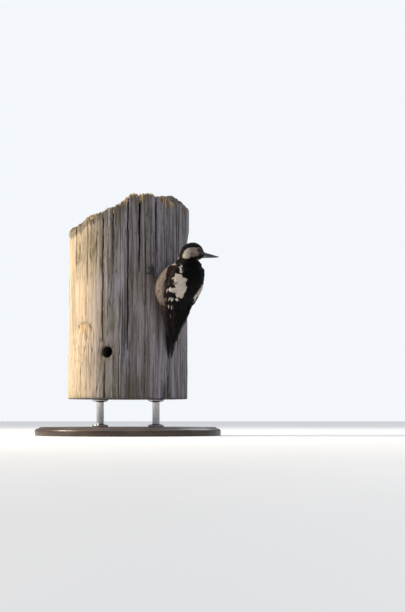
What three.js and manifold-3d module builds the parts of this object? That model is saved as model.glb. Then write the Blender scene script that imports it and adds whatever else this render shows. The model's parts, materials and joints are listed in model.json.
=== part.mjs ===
// A female Syrian woodpecker clinging to a short cut length of weathered pole, on a plain display stand.
// Units are millimetres and +Z is up. The origin is on the pole's axis, on the floor under the stand.
// Bearings go round the pole's axis, in degrees: 0 is along -Y, and 90 is along +X.

import * as THREE from "three";
import { mergeVertices } from "three/addons/utils/BufferGeometryUtils.js";
import Module from "manifold-3d";

const wasm = await Module();
wasm.setup();

// ---------------------------------------------------------------- driving dimensions
const GAP = 0.35; // clearance between neighbouring pieces

const STAND = { baseRadius: 153, baseHeight: 14, edge: 2.5, rodOffset: 46 };
const ROD = { radius: 6, flangeRadius: 13, flangeHeight: 3, fillet: 1.5 };
const POLE = { bottom: 60, top: 400, radiusBottom: 98, radiusTop: 98, slopeAcross: 0.52, slopeBack: 0.1 };
const POLE_BULGE = { bearing: 92, width: 42, low: 318, height: 2.6 }; // a swelling under the right of the end
const POLE_EDGE = 1.2; // how far the pole's sharp edges are worn back
const BOLT_HOLE = { bearing: -17.8, z: 134, radius: 9.5, depth: 34 };
// Drying cracks: bearing, the heights they run between, half width and depth. Those that run past the pole's top
// are open at its end.
const CRACKS = [
  { bearing: -58, low: 250, high: 450, halfWidth: 1.2, depth: 9 },
  { bearing: -22.3, low: 148, high: 450, halfWidth: 1.9, depth: 15 },
  { bearing: -20, low: 30, high: 121, halfWidth: 1.2, depth: 9 },
  { bearing: -12, low: 275, high: 450, halfWidth: 1.8, depth: 13 },
  { bearing: 2, low: 135, high: 450, halfWidth: 1.6, depth: 15 },
  { bearing: 13, low: 262, high: 450, halfWidth: 2.6, depth: 16 },
  { bearing: 29.7, low: 280, high: 450, halfWidth: 2.4, depth: 14 },
  { bearing: 42.5, low: 30, high: 122, halfWidth: 1.3, depth: 10 },
  { bearing: 98, low: 160, high: 450, halfWidth: 2.0, depth: 15 },
  { bearing: 133, low: 270, high: 450, halfWidth: 1.6, depth: 12 },
  { bearing: 170, low: 40, high: 450, halfWidth: 2.2, depth: 18 },
  { bearing: 214, low: 230, high: 450, halfWidth: 1.8, depth: 14 },
  { bearing: 251, low: 150, high: 450, halfWidth: 1.6, depth: 14 },
];

// The head: its centre, the way the bill faces (degrees from +X towards +Y) and its dip.
const HEAD = { x: 106.8, y: -112, z: 294.6, facing: 12, dip: 6 };
// The bill: its shares are how much of its height stands above and below the line where its halves meet.
const BILL = { length: 25.5, rootX: 19.1, rootZ: -5.4, width: 8.6, height: 8.6, split: -0.6 };
const BILL_SHARES = { upper: 0.56, lower: 0.42 };
const LOWER_BILL_SHORTER = 0.9;
const EYE = { x: 9.6, z: 0.6, radius: 3.1, reach: 9.8 };

// Sections of the body from the tail coverts up to the shoulders. Each has a centre by bearing, distance from
// the pole's axis and height; facing is the way its back looks; lean is its tilt back from level.
const BODY = [
  { bearing: 45.4, out: 104.5, z: 150, facing: -45, lean: 15, back: 2.2, belly: 2.2, side: 7, bed: 0 },
  { bearing: 44.0, out: 109.0, z: 166, facing: -45, lean: 16, back: 5.5, belly: 5.0, side: 13, bed: 0 },
  { bearing: 42.6, out: 115.5, z: 185, facing: -46, lean: 18, back: 12.5, belly: 10.5, side: 19.3, bed: 2.2 },
  { bearing: 41.2, out: 121.0, z: 204, facing: -47, lean: 19, back: 20.0, belly: 18.5, side: 26.5, bed: 3.6 },
  { bearing: 39.7, out: 126.5, z: 222, facing: -48, lean: 19, back: 27.0, belly: 25.0, side: 34.5, bed: 4.4 },
  { bearing: 40.4, out: 131.5, z: 238, facing: -48, lean: 17, back: 31.5, belly: 29.0, side: 37.8, bed: 4.6 },
  { bearing: 41.4, out: 136.0, z: 250, facing: -48, lean: 15, back: 31.5, belly: 30.5, side: 35.2, bed: 4.2 },
  { bearing: 42.0, out: 140.0, z: 260, facing: -52, lean: 12, back: 29.5, belly: 29.0, side: 31.0, bed: 2.6 },
  { bearing: 42.0, out: 145.0, z: 270, facing: -72, lean: 8, back: 24.0, belly: 23.5, side: 25.5, bed: 1.6 },
];
// Sections of the neck and head, in the head's own frame: x runs to the bill and z to the crown. fan is how far
// a section has turned from upright at the bill to level at the neck, and twist is how far it has turned on.
const CRANIUM = [
  { x: -5.4, z: -17.0, fan: 90, twist: 34, back: 15.6, belly: 16.6, side: 15.8 },
  { x: -4.8, z: -10.5, fan: 78, twist: 8, back: 14.2, belly: 16.6, side: 14.6 },
  { x: -2.8, z: -4.8, fan: 62, twist: 0, back: 15.2, belly: 17.0, side: 14.2 },
  { x: 2.0, z: -2.2, fan: 45, twist: 0, back: 16.0, belly: 15.2, side: 14.0 },
  { x: 8.6, z: -2.4, fan: 24, twist: 0, back: 16.2, belly: 11.6, side: 12.6 },
  { x: 14.0, z: -4.0, fan: 8, twist: 0, back: 12.6, belly: 7.8, side: 9.8 },
  { x: 17.4, z: -5.2, fan: 0, twist: 0, back: 6.4, belly: 5.2, side: 6.2 },
  { x: 18.6, z: -5.4, fan: 0, twist: 0, back: 4.4, belly: 4.2, side: 4.4 },
];
const SQUARENESS = 2.2; // exponent of the body's rounded sections: 2 is an ellipse
// The stations along the body where its pieces part.
const TRUNK_START = 1.35;
const NECK_START = 8.0;
const HEAD_START = 9.55;
const PARTING = 0.045; // stations between one piece and the next
const LAST_STATION = BODY.length + CRANIUM.length - 1;

// The folded wing, along the stations: its lower and upper edge, in degrees from the midline of the back.
const WING = {
  start: 7.75,
  end: 1.5,
  off: 0.65, // height of its underside over the body
  thickness: 2.7,
  edgeThickness: 1.1,
  lowerEdge: [26, 72, 84, 76, 73, 76, 80, 78, 60],
  upperEdge: [12, 14, 10, 16, 34, 52, 57, 58, 56],
};
// The tips of the long feathers past the wing's end: each one ends a step further up than the one above it.
const PRIMARIES = { count: 4, start: 2.7, firstEnd: 0.55, step: 0.45, thickness: 0.9, crown: 1.1, lift: 0.2 };

const TAIL = { length: 78, width: 8.6, thickness: 1.1, rootSpread: 1.6, bow: 0.8, layer: 0.55, roundness: 95 };
const TAIL_EDGE_DROP = 0.3; // a tail feather's edges hang lower than its shaft
// The tail's pairs from the middle out: how much shorter each is, and how far its tips stand from the midline.
const TAIL_PAIRS = [
  { shorter: 0, tipOffset: 3.6 },
  { shorter: 6, tipOffset: 5.6 },
  { shorter: 13, tipOffset: 7.8 },
  { shorter: 21, tipOffset: 9.8 },
  { shorter: 31, tipOffset: 11.4 },
];
const TAIL_ROOT = { bearing: 42.6, out: 117.0, z: 199 };
const TAIL_TIP = { bearing: 45.0, out: 99.7, z: 126.4 };

// The feet, by bearing, height off the wood and level. Toes are angles from straight up towards the outside.
const FEET = {
  left: { bearing: 26.6, z: 260.5, heelBearing: 28.2, heelOff: 11, heelZ: 243, outward: -1 },
  right: { bearing: 59.5, z: 253, heelBearing: 56, heelOff: 11, heelZ: 236.5, outward: 1 },
};
const TOES = [
  { angle: 16, length: 10.5, radius: 1.2, claw: 5.8 },
  { angle: 48, length: 12.5, radius: 1.3, claw: 6.4 },
  { angle: 96, length: 12.0, radius: 1.3, claw: 5.8 },
  { angle: 214, length: 6.0, radius: 1.05, claw: 5.0 },
];
const CLAW = { rootRadius: 0.95, tipRadius: 0.28, tipOff: 0.9 };
const TARSUS = { heelRadius: 2.0, footRadius: 1.7, footOff: 3.6, bow: 0.8 };
// The feathered thigh, let into the flank: its radii, and where its root stands from the heel.
const THIGH = { rootRadius: 9.5, heelRadius: 2.8, inward: 2.5, off: 20, drop: 19, bow: 1.5 };

// ---------------------------------------------------------------- small helpers
const radians = THREE.MathUtils.degToRad;
const clamp = THREE.MathUtils.clamp;
const lerp = THREE.MathUtils.lerp;
const vec = (x, y, z) => new THREE.Vector3(x, y, z);
const sum = (...parts) => parts.reduce((total, [v, k]) => total.addScaledVector(v, k), vec(0, 0, 0));
const steps = (n) => Array.from({ length: n + 1 }, (_, i) => i / n);
const ease = (t) => clamp(t, 0, 1) ** 2 * (3 - 2 * clamp(t, 0, 1));
const turned = (a, b) => Math.abs(((a - b + 900) % 360) - 180); // the angle between two bearings

// The place at a bearing round the pole, a distance out from its axis and a height.
function roundPole(bearing, out, z) {
  return vec(out * Math.sin(radians(bearing)), -out * Math.cos(radians(bearing)), z);
}

// A smooth curve through evenly spaced values, read at t.
function smooth(values, t) {
  const last = values.length - 1;
  const i = clamp(Math.floor(t), 0, last - 1);
  const f = t - i;
  const [a, b, c, d] = [i - 1, i, i + 1, i + 2].map((k) => values[clamp(k, 0, last)]);
  return b + 0.5 * f * (c - a + f * (2 * a - 5 * b + 4 * c - d + f * (3 * (b - c) + d - a)));
}

// ---------------------------------------------------------------- solids
// A closed solid from rings of points, joined ring to ring and closed at both ends by a fan.
function loft(rings) {
  const n = rings[0].length;
  const points = rings.flat();
  const faces = [];
  for (let r = 0; r + 1 < rings.length; r++)
    for (let i = 0; i < n; i++) {
      const [a, b] = [r * n + i, r * n + ((i + 1) % n)];
      faces.push([a, b, b + n], [a, b + n, a + n]);
    }
  for (const r of [0, rings.length - 1]) {
    const centre = points.push(rings[r].reduce((s, p) => s.add(p), vec(0, 0, 0)).divideScalar(n)) - 1;
    for (let i = 0; i < n; i++) {
      const edge = [r * n + i, r * n + ((i + 1) % n)];
      faces.push(r ? [...edge, centre] : [centre, edge[1], edge[0]]);
    }
  }
  return closed(points, faces);
}

// A Manifold of these points and faces, turned round if its faces point inwards.
function closed(points, faces) {
  const sixTimesVolume = faces.reduce((v, [a, b, c]) => v + points[a].dot(points[b].clone().cross(points[c])), 0);
  const outward = sixTimesVolume > 0 ? faces : faces.map(([a, b, c]) => [a, c, b]);
  const mesh = new wasm.Mesh({
    numProp: 3,
    vertProperties: new Float32Array(points.flatMap((p) => p.toArray())),
    triVerts: new Uint32Array(outward.flat()),
  });
  return new wasm.Manifold(mesh);
}

// The Manifold of a closed three.js geometry.
function solidOf(geometry) {
  const bare = geometry.clone();
  bare.deleteAttribute("normal");
  bare.deleteAttribute("uv");
  const merged = mergeVertices(bare, 1e-4);
  const place = merged.getAttribute("position");
  const points = Array.from({ length: place.count }, (_, i) => vec(0, 0, 0).fromBufferAttribute(place, i));
  const index = merged.index.array;
  const faces = Array.from({ length: index.length / 3 }, (_, i) => [...index.slice(3 * i, 3 * i + 3)]);
  return closed(points, faces);
}

function geometryOf(solid) {
  const mesh = solid.getMesh();
  const geometry = new THREE.BufferGeometry();
  const places = new Float32Array(mesh.numVert * 3);
  for (let i = 0; i < mesh.numVert; i++) {
    const start = i * mesh.numProp;
    places.set(mesh.vertProperties.subarray(start, start + 3), 3 * i);
  }
  geometry.setAttribute("position", new THREE.BufferAttribute(places, 3));
  geometry.setIndex(new THREE.BufferAttribute(mesh.triVerts, 1));
  geometry.computeVertexNormals();
  return geometry;
}

// A round tapering rod along a curve, with its radius given along it.
function rodAlong(points, radiusAt, sides, count) {
  const curve = new THREE.CatmullRomCurve3(points);
  const frames = curve.computeFrenetFrames(count, false);
  const rings = steps(count).map((t, i) =>
    steps(sides - 1).map((_, k) => {
      const turn = (2 * Math.PI * k) / sides;
      const across = radiusAt(t) * Math.cos(turn);
      const up = radiusAt(t) * Math.sin(turn);
      return sum([curve.getPointAt(t), 1], [frames.normals[i], across], [frames.binormals[i], up]);
    }),
  );
  return loft(rings);
}

// ---------------------------------------------------------------- the body's surface
// The head's axes: to the bill, to the crown and to its left.
const dip = radians(-HEAD.dip);
const level = vec(Math.cos(radians(HEAD.facing)), Math.sin(radians(HEAD.facing)), 0);
const toBill = sum([level, Math.cos(dip)], [vec(0, 0, 1), Math.sin(dip)]);
const toCrown = sum([level, -Math.sin(dip)], [vec(0, 0, 1), Math.cos(dip)]);
const toLeft = toCrown.clone().cross(toBill);
const headPlace = (x, y, z) => sum([vec(HEAD.x, HEAD.y, HEAD.z), 1], [toBill, x], [toLeft, y], [toCrown, z]);

// Every station as a centre, the way its back faces and leans, and its radii.
const stations = [
  ...BODY.map((s) => ({ ...s, centre: roundPole(s.bearing, s.out, s.z) })),
  ...CRANIUM.map((s) => ({
    ...s,
    centre: headPlace(s.x, 0, s.z),
    facing: HEAD.facing - 180 + s.twist,
    lean: s.fan - 90 - HEAD.dip,
    bed: 0,
  })),
];
const column = (read) => stations.map(read);
const along = {
  x: column((s) => s.centre.x),
  y: column((s) => s.centre.y),
  z: column((s) => s.centre.z),
  facing: column((s) => s.facing),
  lean: column((s) => s.lean),
  back: column((s) => s.back),
  belly: column((s) => s.belly),
  side: column((s) => s.side),
  bed: column((s) => s.bed),
};

// The body's section at t: its centre, the unit vectors to its back, left and head end, and its radii.
function section(t) {
  const at = (name) => smooth(along[name], t);
  const facing = radians(at("facing"));
  const lean = radians(at("lean"));
  const out = vec(Math.cos(facing), Math.sin(facing), 0);
  const toBack = sum([out, Math.cos(lean)], [vec(0, 0, 1), -Math.sin(lean)]);
  const toHead = sum([out, Math.sin(lean)], [vec(0, 0, 1), Math.cos(lean)]);
  return {
    centre: vec(at("x"), at("y"), at("z")),
    toBack,
    toLeft: toBack.clone().cross(toHead),
    back: at("back"),
    belly: at("belly"),
    side: at("side"),
    bed: at("bed"),
  };
}

// A point of the body: round it by angle from the back towards the left, raised by lift. The folded wings lie
// in a shallow bed on each side of the back.
function bodyPoint(t, angle, lift = 0) {
  const s = section(t);
  const turn = radians(angle);
  const [c, w] = [Math.cos(turn), Math.sin(turn)];
  const high = c > 0 ? s.back : s.belly;
  const rounded = Math.abs(c / high) ** SQUARENESS + Math.abs(w / s.side) ** SQUARENESS;
  const fromMidline = turned(angle, 0);
  const under = ease((fromMidline - 14) / 26) * ease((98 - fromMidline) / 22);
  const radius = rounded ** (-1 / SQUARENESS) - s.bed * under + lift;
  return sum([s.centre, 1], [s.toBack, radius * c], [s.toLeft, radius * w]);
}

// The body between two stations, as one solid grown by lift. Its lengthwise edges keep their bearing where it twists.
function bodySolid(from, to, perStation, sides, lift = 0) {
  const count = Math.ceil((to - from) * perStation);
  const rings = steps(count).map((u) => {
    const t = lerp(from, to, u);
    const turnedOn = smooth(along.facing, t) - smooth(along.facing, from);
    return steps(sides - 1).map((_, k) => bodyPoint(t, turnedOn - 180 + (360 * k) / sides, lift));
  });
  return loft(rings);
}

// ---------------------------------------------------------------- wings
// A strip that lies on the body between two stations and two edges: lift is its height off the body, and it
// thins from thick in the middle to thin at its edges. side is 1 on the left and -1 on the right.
function strip({ side, from, to, lower, upper, lift, thick, thin, count, across }) {
  const rings = steps(count).map((u) => {
    const t = lerp(from, to, u);
    const [low, high] = [lower(t, u), upper(t, u)];
    const taper = Math.sin(Math.PI * clamp(u, 0.06, 0.94)) ** 0.35;
    const layer = (v, raised) => {
      const bulge = thin + (thick - thin) * Math.sin(Math.PI * v) ** 0.6 * taper;
      return bodyPoint(t, side * lerp(low, high, v), lift + (raised ? bulge : 0));
    };
    const outer = steps(across).map((v) => layer(v, true));
    const inner = steps(across).map((v) => layer(1 - v, false));
    return [...outer, ...inner];
  });
  return loft(rings);
}

function wing(side) {
  const lowerAt = (t) => smooth(WING.lowerEdge, t);
  const upperAt = (t) => smooth(WING.upperEdge, t);
  const shoulder = (u) => Math.sqrt(clamp(u / 0.11, 0.02, 1)); // the rounded bend of the wing
  const rounded = (u) => Math.sqrt(clamp((1 - u) / 0.2, 0.04, 1)); // and its rounded end
  const cover = strip({
    side,
    from: WING.start,
    to: WING.end,
    lower: (t, u) => lerp(upperAt(t) + 4, lowerAt(t), shoulder(u)),
    upper: (t, u) => lerp(lowerAt(t) - 4, upperAt(t), rounded(u)),
    lift: WING.off,
    thick: WING.thickness,
    thin: WING.edgeThickness,
    count: 12,
    across: 4,
  });
  const tips = steps(PRIMARIES.count - 1).map((_, i) => {
    const end = PRIMARIES.firstEnd + i * PRIMARIES.step;
    const share = (k) => lerp(0.1, 1, k / PRIMARIES.count);
    const edge = (t, k) => lerp(upperAt(t), lowerAt(t), k);
    const middle = (share(i) + share(i + 1)) / 2;
    const narrowing = (u) => Math.sqrt(clamp((1 - u) / 0.16, 0.06, 1));
    return strip({
      side,
      from: PRIMARIES.start,
      to: end,
      lower: (t, u) => edge(t, lerp(middle, share(i + 1) * 0.98, narrowing(u))),
      upper: (t, u) => edge(t, lerp(middle, share(i) * 0.9, narrowing(u))),
      lift: WING.off + PRIMARIES.lift,
      thick: PRIMARIES.thickness + PRIMARIES.crown,
      thin: PRIMARIES.thickness,
      count: 5,
      across: 2,
    });
  });
  return tips.reduce((whole, tip) => whole.add(tip), cover);
}

// ---------------------------------------------------------------- tail
// One tail feather: a stiff blade from root to tip, bowed a little away from the pole and pointed at its end.
function tailFeather(pair, side) {
  const root = roundPole(TAIL_ROOT.bearing, TAIL_ROOT.out, TAIL_ROOT.z);
  const tip = roundPole(TAIL_TIP.bearing, TAIL_TIP.out, TAIL_TIP.z);
  const down = tip.clone().sub(root).normalize();
  const outward = roundPole(TAIL_TIP.bearing, 1, 0);
  const up = outward.clone().addScaledVector(down, -outward.dot(down)).normalize();
  const left = down.clone().cross(up);
  const { shorter, tipOffset } = TAIL_PAIRS[pair];
  const length = TAIL.length - shorter;
  const rings = steps(6).map((u) => {
    const offset = side * lerp(TAIL.rootSpread * (pair + 0.5), tipOffset, u);
    const bow = TAIL.bow * Math.sin((Math.PI * u * length) / TAIL.length);
    const layer = bow - TAIL.layer * pair - (0.5 * offset * offset) / TAIL.roundness;
    const middle = sum([root, 1], [down, u * length], [left, offset], [up, layer]);
    const half = 0.5 * TAIL.width * Math.min(1, 0.6 + 2 * u) * Math.min(1, ((1.02 - u) / 0.34) ** 0.8);
    const thick = 0.5 * TAIL.thickness;
    return [
      sum([middle, 1], [left, half], [up, -TAIL_EDGE_DROP]),
      sum([middle, 1], [left, 0.15 * half], [up, thick]),
      sum([middle, 1], [left, -0.15 * half], [up, thick]),
      sum([middle, 1], [left, -half], [up, -TAIL_EDGE_DROP]),
      sum([middle, 1], [left, -0.15 * half], [up, -thick]),
      sum([middle, 1], [left, 0.15 * half], [up, -thick]),
    ];
  });
  return loft(rings);
}

function tail() {
  const blades = TAIL_PAIRS.flatMap((_, pair) => [tailFeather(pair, 1), tailFeather(pair, -1)]);
  return blades.reduce((whole, blade) => whole.add(blade));
}

// ---------------------------------------------------------------- bill and eyes
// Half of the bill: a round-backed taper, above or below the line where the two halves meet.
function mandible(upper) {
  const sign = upper ? 1 : -1;
  const length = BILL.length - (upper ? 0 : LOWER_BILL_SHORTER);
  const rings = steps(8).map((u) => {
    const x = BILL.rootX + u * length;
    const narrow = (1 - u) ** 0.8 + 0.09;
    const half = 0.5 * BILL.width * narrow;
    const high = BILL_SHARES[upper ? "upper" : "lower"] * BILL.height * ((1 - u) ** 0.9 + 0.07);
    const meet = BILL.rootZ + BILL.split * (1 - u) + sign * 0.5 * GAP;
    return steps(6).map((v) => {
      const turn = Math.PI * v;
      return headPlace(x, half * Math.cos(turn), meet + sign * high * Math.sin(turn) ** 0.9);
    });
  });
  return loft(rings);
}

function eyeSolid(side, radius) {
  const centre = headPlace(EYE.x, side * EYE.reach, EYE.z);
  return solidOf(new THREE.SphereGeometry(radius, 12, 8).translate(centre.x, centre.y, centre.z));
}

// ---------------------------------------------------------------- legs and feet
// A place on the wood at a distance from the foot's middle, at an angle from straight up towards the outside.
function onWood(foot, distance, angle, off) {
  const sideways = foot.outward * distance * Math.sin(radians(angle));
  const radius = poleRadius(foot.z) + off;
  return roundPole(
    foot.bearing + THREE.MathUtils.radToDeg(sideways / radius),
    radius,
    foot.z + distance * Math.cos(radians(angle)),
  );
}

function toe(foot, { angle, length, radius }) {
  const points = [
    onWood(foot, 0, 0, TARSUS.footOff),
    onWood(foot, 0.35 * length, angle, radius + 1.7),
    onWood(foot, 0.7 * length, angle, radius + 1.0),
    onWood(foot, length, angle, radius + 1.5),
  ];
  return rodAlong(points, (t) => radius * (1.12 - 0.3 * t), 6, 4);
}

function claw(foot, { angle, length, radius, claw: reach }) {
  const points = [
    onWood(foot, length + GAP + 0.4, angle, radius + 1.7),
    onWood(foot, length + 0.45 * reach, angle, radius + 2.6),
    onWood(foot, length + 0.85 * reach, angle, radius + 1.2),
    onWood(foot, length + reach, angle, CLAW.tipOff),
  ];
  return rodAlong(points, (t) => lerp(CLAW.rootRadius, CLAW.tipRadius, t), 5, 4);
}

const heelOf = (foot) => roundPole(foot.heelBearing, poleRadius(foot.heelZ) + foot.heelOff, foot.heelZ);

// The thigh, from its round root in the flank to the heel, grown by a clearance.
function thigh(foot, grown = 0) {
  const heel = heelOf(foot);
  const root = roundPole(
    foot.heelBearing - foot.outward * THIGH.inward,
    poleRadius(foot.heelZ) + THIGH.off,
    foot.heelZ - THIGH.drop,
  );
  const down = root.clone().sub(heel).normalize();
  const middle = root.clone().lerp(heel, 0.5).add(roundPole(foot.heelBearing, THIGH.bow, 0));
  const points = [sum([root, 1], [down, grown]), middle, sum([heel, 1], [down, -grown])];
  const rounding = (t) => Math.sqrt(clamp(t / 0.3, 0.02, 1));
  return rodAlong(points, (t) => lerp(THIGH.rootRadius, THIGH.heelRadius, ease(t)) * rounding(t) + grown, 10, 7);
}

// The bare tarsus, from the heel down to the foot's middle.
function shank(foot) {
  const heel = heelOf(foot);
  const ankle = onWood(foot, 0, 0, TARSUS.footOff);
  const middle = heel.clone().lerp(ankle, 0.5).add(roundPole(foot.heelBearing, TARSUS.bow, 0));
  return rodAlong([heel, middle, ankle], (t) => lerp(TARSUS.heelRadius, TARSUS.footRadius, t), 7, 4);
}

// ---------------------------------------------------------------- perch
const poleRadius = (z) => lerp(POLE.radiusBottom, POLE.radiusTop, (z - POLE.bottom) / (POLE.top - POLE.bottom));

// How high the weathered end stands at a place: a slant down to the left and front, broken between the cracks.
function endHeight(bearing, share) {
  const x = share * POLE.radiusTop * Math.sin(radians(bearing));
  const y = -share * POLE.radiusTop * Math.cos(radians(bearing));
  const slant = POLE.slopeAcross * Math.min(x - 12, 0) + POLE.slopeBack * (Math.min(y, 60) - 60);
  const rim = -17 * ease((share - 0.75) / 0.25) * ease((x - 50) / 50);
  const broken = 2.2 * Math.sin(radians(bearing * 7)) * share + 1.4 * Math.sin(radians(bearing * 17 + 40)) * share;
  return POLE.top + slant + rim + broken;
}

function poleWood() {
  const bearings = new Set(steps(39).map((u) => Math.round(u * 351)));
  CRACKS.forEach(({ bearing, halfWidth }) => {
    const wide = THREE.MathUtils.radToDeg(halfWidth / POLE.radiusTop);
    const near = [...bearings].filter((b) => turned(b, bearing) < 3.2);
    near.forEach((b) => bearings.delete(b));
    [bearing - wide, bearing, bearing + wide].forEach((b) => bearings.add((b + 360) % 360));
  });
  const round = [...bearings].sort((a, b) => a - b);
  const crackDepth = (bearing, z) => {
    const crack = CRACKS.find((c) => turned(c.bearing, bearing) < 0.1);
    return crack ? crack.depth * Math.sqrt(clamp(Math.min(z - crack.low, crack.high - z) / 60, 0, 1)) : 0;
  };
  const levels = [0, 0.01, 0.12, 0.45, 0.75, 0.99, 1];
  const wall = levels.map((u) =>
    round.map((b) => {
      const z = lerp(POLE.bottom, endHeight(b, 1), u);
      const { bearing, width, low, height } = POLE_BULGE;
      const bulge = height * ease(1 - turned(b, bearing) / width) * ease((z - low) / 24);
      const waney = 0.7 * Math.sin(radians(3 * b + 20)) + 0.4 * Math.sin(radians(8 * b + z)) + bulge;
      const worn = u === 0 || u === 1 ? POLE_EDGE : 0;
      return roundPole(b, poleRadius(z) + waney - worn - crackDepth(b, z), z);
    }),
  );
  const endRing = (share) => round.map((b) => roundPole(b, share * POLE.radiusTop, endHeight(b, share)));
  const end = [0.9, 0.66, 0.33].map(endRing);
  const axis = roundPole(BOLT_HOLE.bearing, poleRadius(BOLT_HOLE.z), BOLT_HOLE.z);
  const hole = new THREE.CylinderGeometry(BOLT_HOLE.radius, BOLT_HOLE.radius, 2 * BOLT_HOLE.depth, 20)
    .rotateZ(Math.PI / 2)
    .rotateZ(radians(BOLT_HOLE.bearing - 90))
    .translate(axis.x, axis.y, axis.z);
  return loft([...wall, ...end]).subtract(solidOf(hole));
}

// ---------------------------------------------------------------- stand
// A turned solid from its outline, given as radius and height.
function turnedSolid(outline, sides) {
  const profile = outline.map(([radius, height]) => new THREE.Vector2(radius, height));
  return solidOf(new THREE.LatheGeometry(profile, sides).rotateX(Math.PI / 2));
}

function standBase() {
  const { baseRadius: r, baseHeight: h, edge: e } = STAND;
  return turnedSolid([[0, 0], [r, 0], [r, h - e], [r - e, h], [0, h]], 56);
}

function standRod(x) {
  const { radius: r, flangeRadius: f, flangeHeight, fillet } = ROD;
  const [low, high] = [STAND.baseHeight + GAP, POLE.bottom - GAP];
  const foot = [[0, low], [f, low], [f, low + flangeHeight], [r, low + flangeHeight + fillet]];
  const head = [[r, high - flangeHeight - fillet], [f, high - flangeHeight], [f, high], [0, high]];
  return turnedSolid([...foot, ...head], 16).translate([x, 0, 0]);
}

// ---------------------------------------------------------------- assembly
const FINISHES = {
  black_plumage: { color: 0x101014, roughness: 0.6 },
  pale_plumage: { color: 0xc9b8a6, roughness: 0.9 },
  bill_horn: { color: 0x2c2a30, roughness: 0.45 },
  claw_horn: { color: 0x24201e, roughness: 0.45 },
  eye: { color: 0x1c0806, roughness: 0.05 },
  leg_skin: { color: 0x55504c, roughness: 0.7 },
  pole_wood: { color: 0x8c857c, roughness: 0.95 },
  stand_wood: { color: 0x3a2f28, roughness: 0.5 },
  stand_metal: { color: 0x8f9296, roughness: 0.35, metalness: 1 },
};

const woodpecker = new THREE.Group();
const trunkSolid = (lift = 0) => bodySolid(TRUNK_START, NECK_START - PARTING, 2, 28, lift);
const neckSolid = (lift = 0) => bodySolid(NECK_START, HEAD_START, 4, 24, lift);
const headSolid = () => bodySolid(HEAD_START + PARTING, LAST_STATION, 2, 24);

function addPiece(name, solid, finish) {
  const material = new THREE.MeshStandardMaterial({ metalness: 0, ...FINISHES[finish] });
  const mesh = new THREE.Mesh(geometryOf(solid), material);
  mesh.name = name;
  woodpecker.add(mesh);
}

function addBody() {
  const eyeRoom = (solid) => [1, -1].reduce((s, side) => s.subtract(eyeSolid(side, EYE.radius + GAP)), solid);
  const thighRoom = (solid) => Object.values(FEET).reduce((s, foot) => s.subtract(thigh(foot, GAP)), solid);
  addPiece("trunk", thighRoom(trunkSolid()), "black_plumage");
  addPiece("neck", neckSolid(), "black_plumage");
  addPiece("head", eyeRoom(headSolid()), "black_plumage");
  addPiece("bill_upper", mandible(true), "bill_horn");
  addPiece("bill_lower", mandible(false), "bill_horn");
  addPiece("eye_left", eyeSolid(1, EYE.radius), "eye");
  addPiece("eye_right", eyeSolid(-1, EYE.radius), "eye");
}

function addFeathers() {
  const grown = trunkSolid(GAP).add(neckSolid(GAP));
  addPiece("wing_left", largest(wing(1).subtract(grown)), "black_plumage");
  addPiece("wing_right", largest(wing(-1).subtract(grown)), "black_plumage");
  addPiece("tail", largest(tail().subtract(grown)), "black_plumage");
}

// The largest of a solid's separate bodies.
function largest(solid) {
  return solid.decompose().reduce((best, part) => (part.volume() > best.volume() ? part : best));
}

function addLegs() {
  const grown = trunkSolid(GAP);
  for (const [side, foot] of Object.entries(FEET)) {
    addPiece("thigh_" + side, thigh(foot), "pale_plumage");
    const toes = TOES.map((t) => toe(foot, t)).reduce((whole, t) => whole.add(t));
    addPiece("foot_" + side, largest(shank(foot).add(toes).subtract(thigh(foot, GAP)).subtract(grown)), "leg_skin");
    TOES.forEach((t, i) => addPiece("claw_" + side + "_" + (i + 1), claw(foot, t), "claw_horn"));
  }
}

function addPerchAndStand() {
  addPiece("perch_pole", poleWood(), "pole_wood");
  addPiece("stand_base", standBase(), "stand_wood");
  addPiece("stand_rod_left", standRod(-STAND.rodOffset), "stand_metal");
  addPiece("stand_rod_right", standRod(STAND.rodOffset), "stand_metal");
}

addBody();
addFeathers();
addLegs();
addPerchAndStand();

export default woodpecker;
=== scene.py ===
"""A life-size woodpecker clinging to a short cut length of weathered pole, on a plain display stand.

Lengths in this file are millimetres and angles degrees, unless a name says otherwise. The body is described in
its own coordinates: t counts stations from the rump (0) to the bill (16), and an angle runs round it from the
middle of the back towards its left. The head also has its own frame: x to the bill, y to its left, z to the crown.
"""
import json

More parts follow.
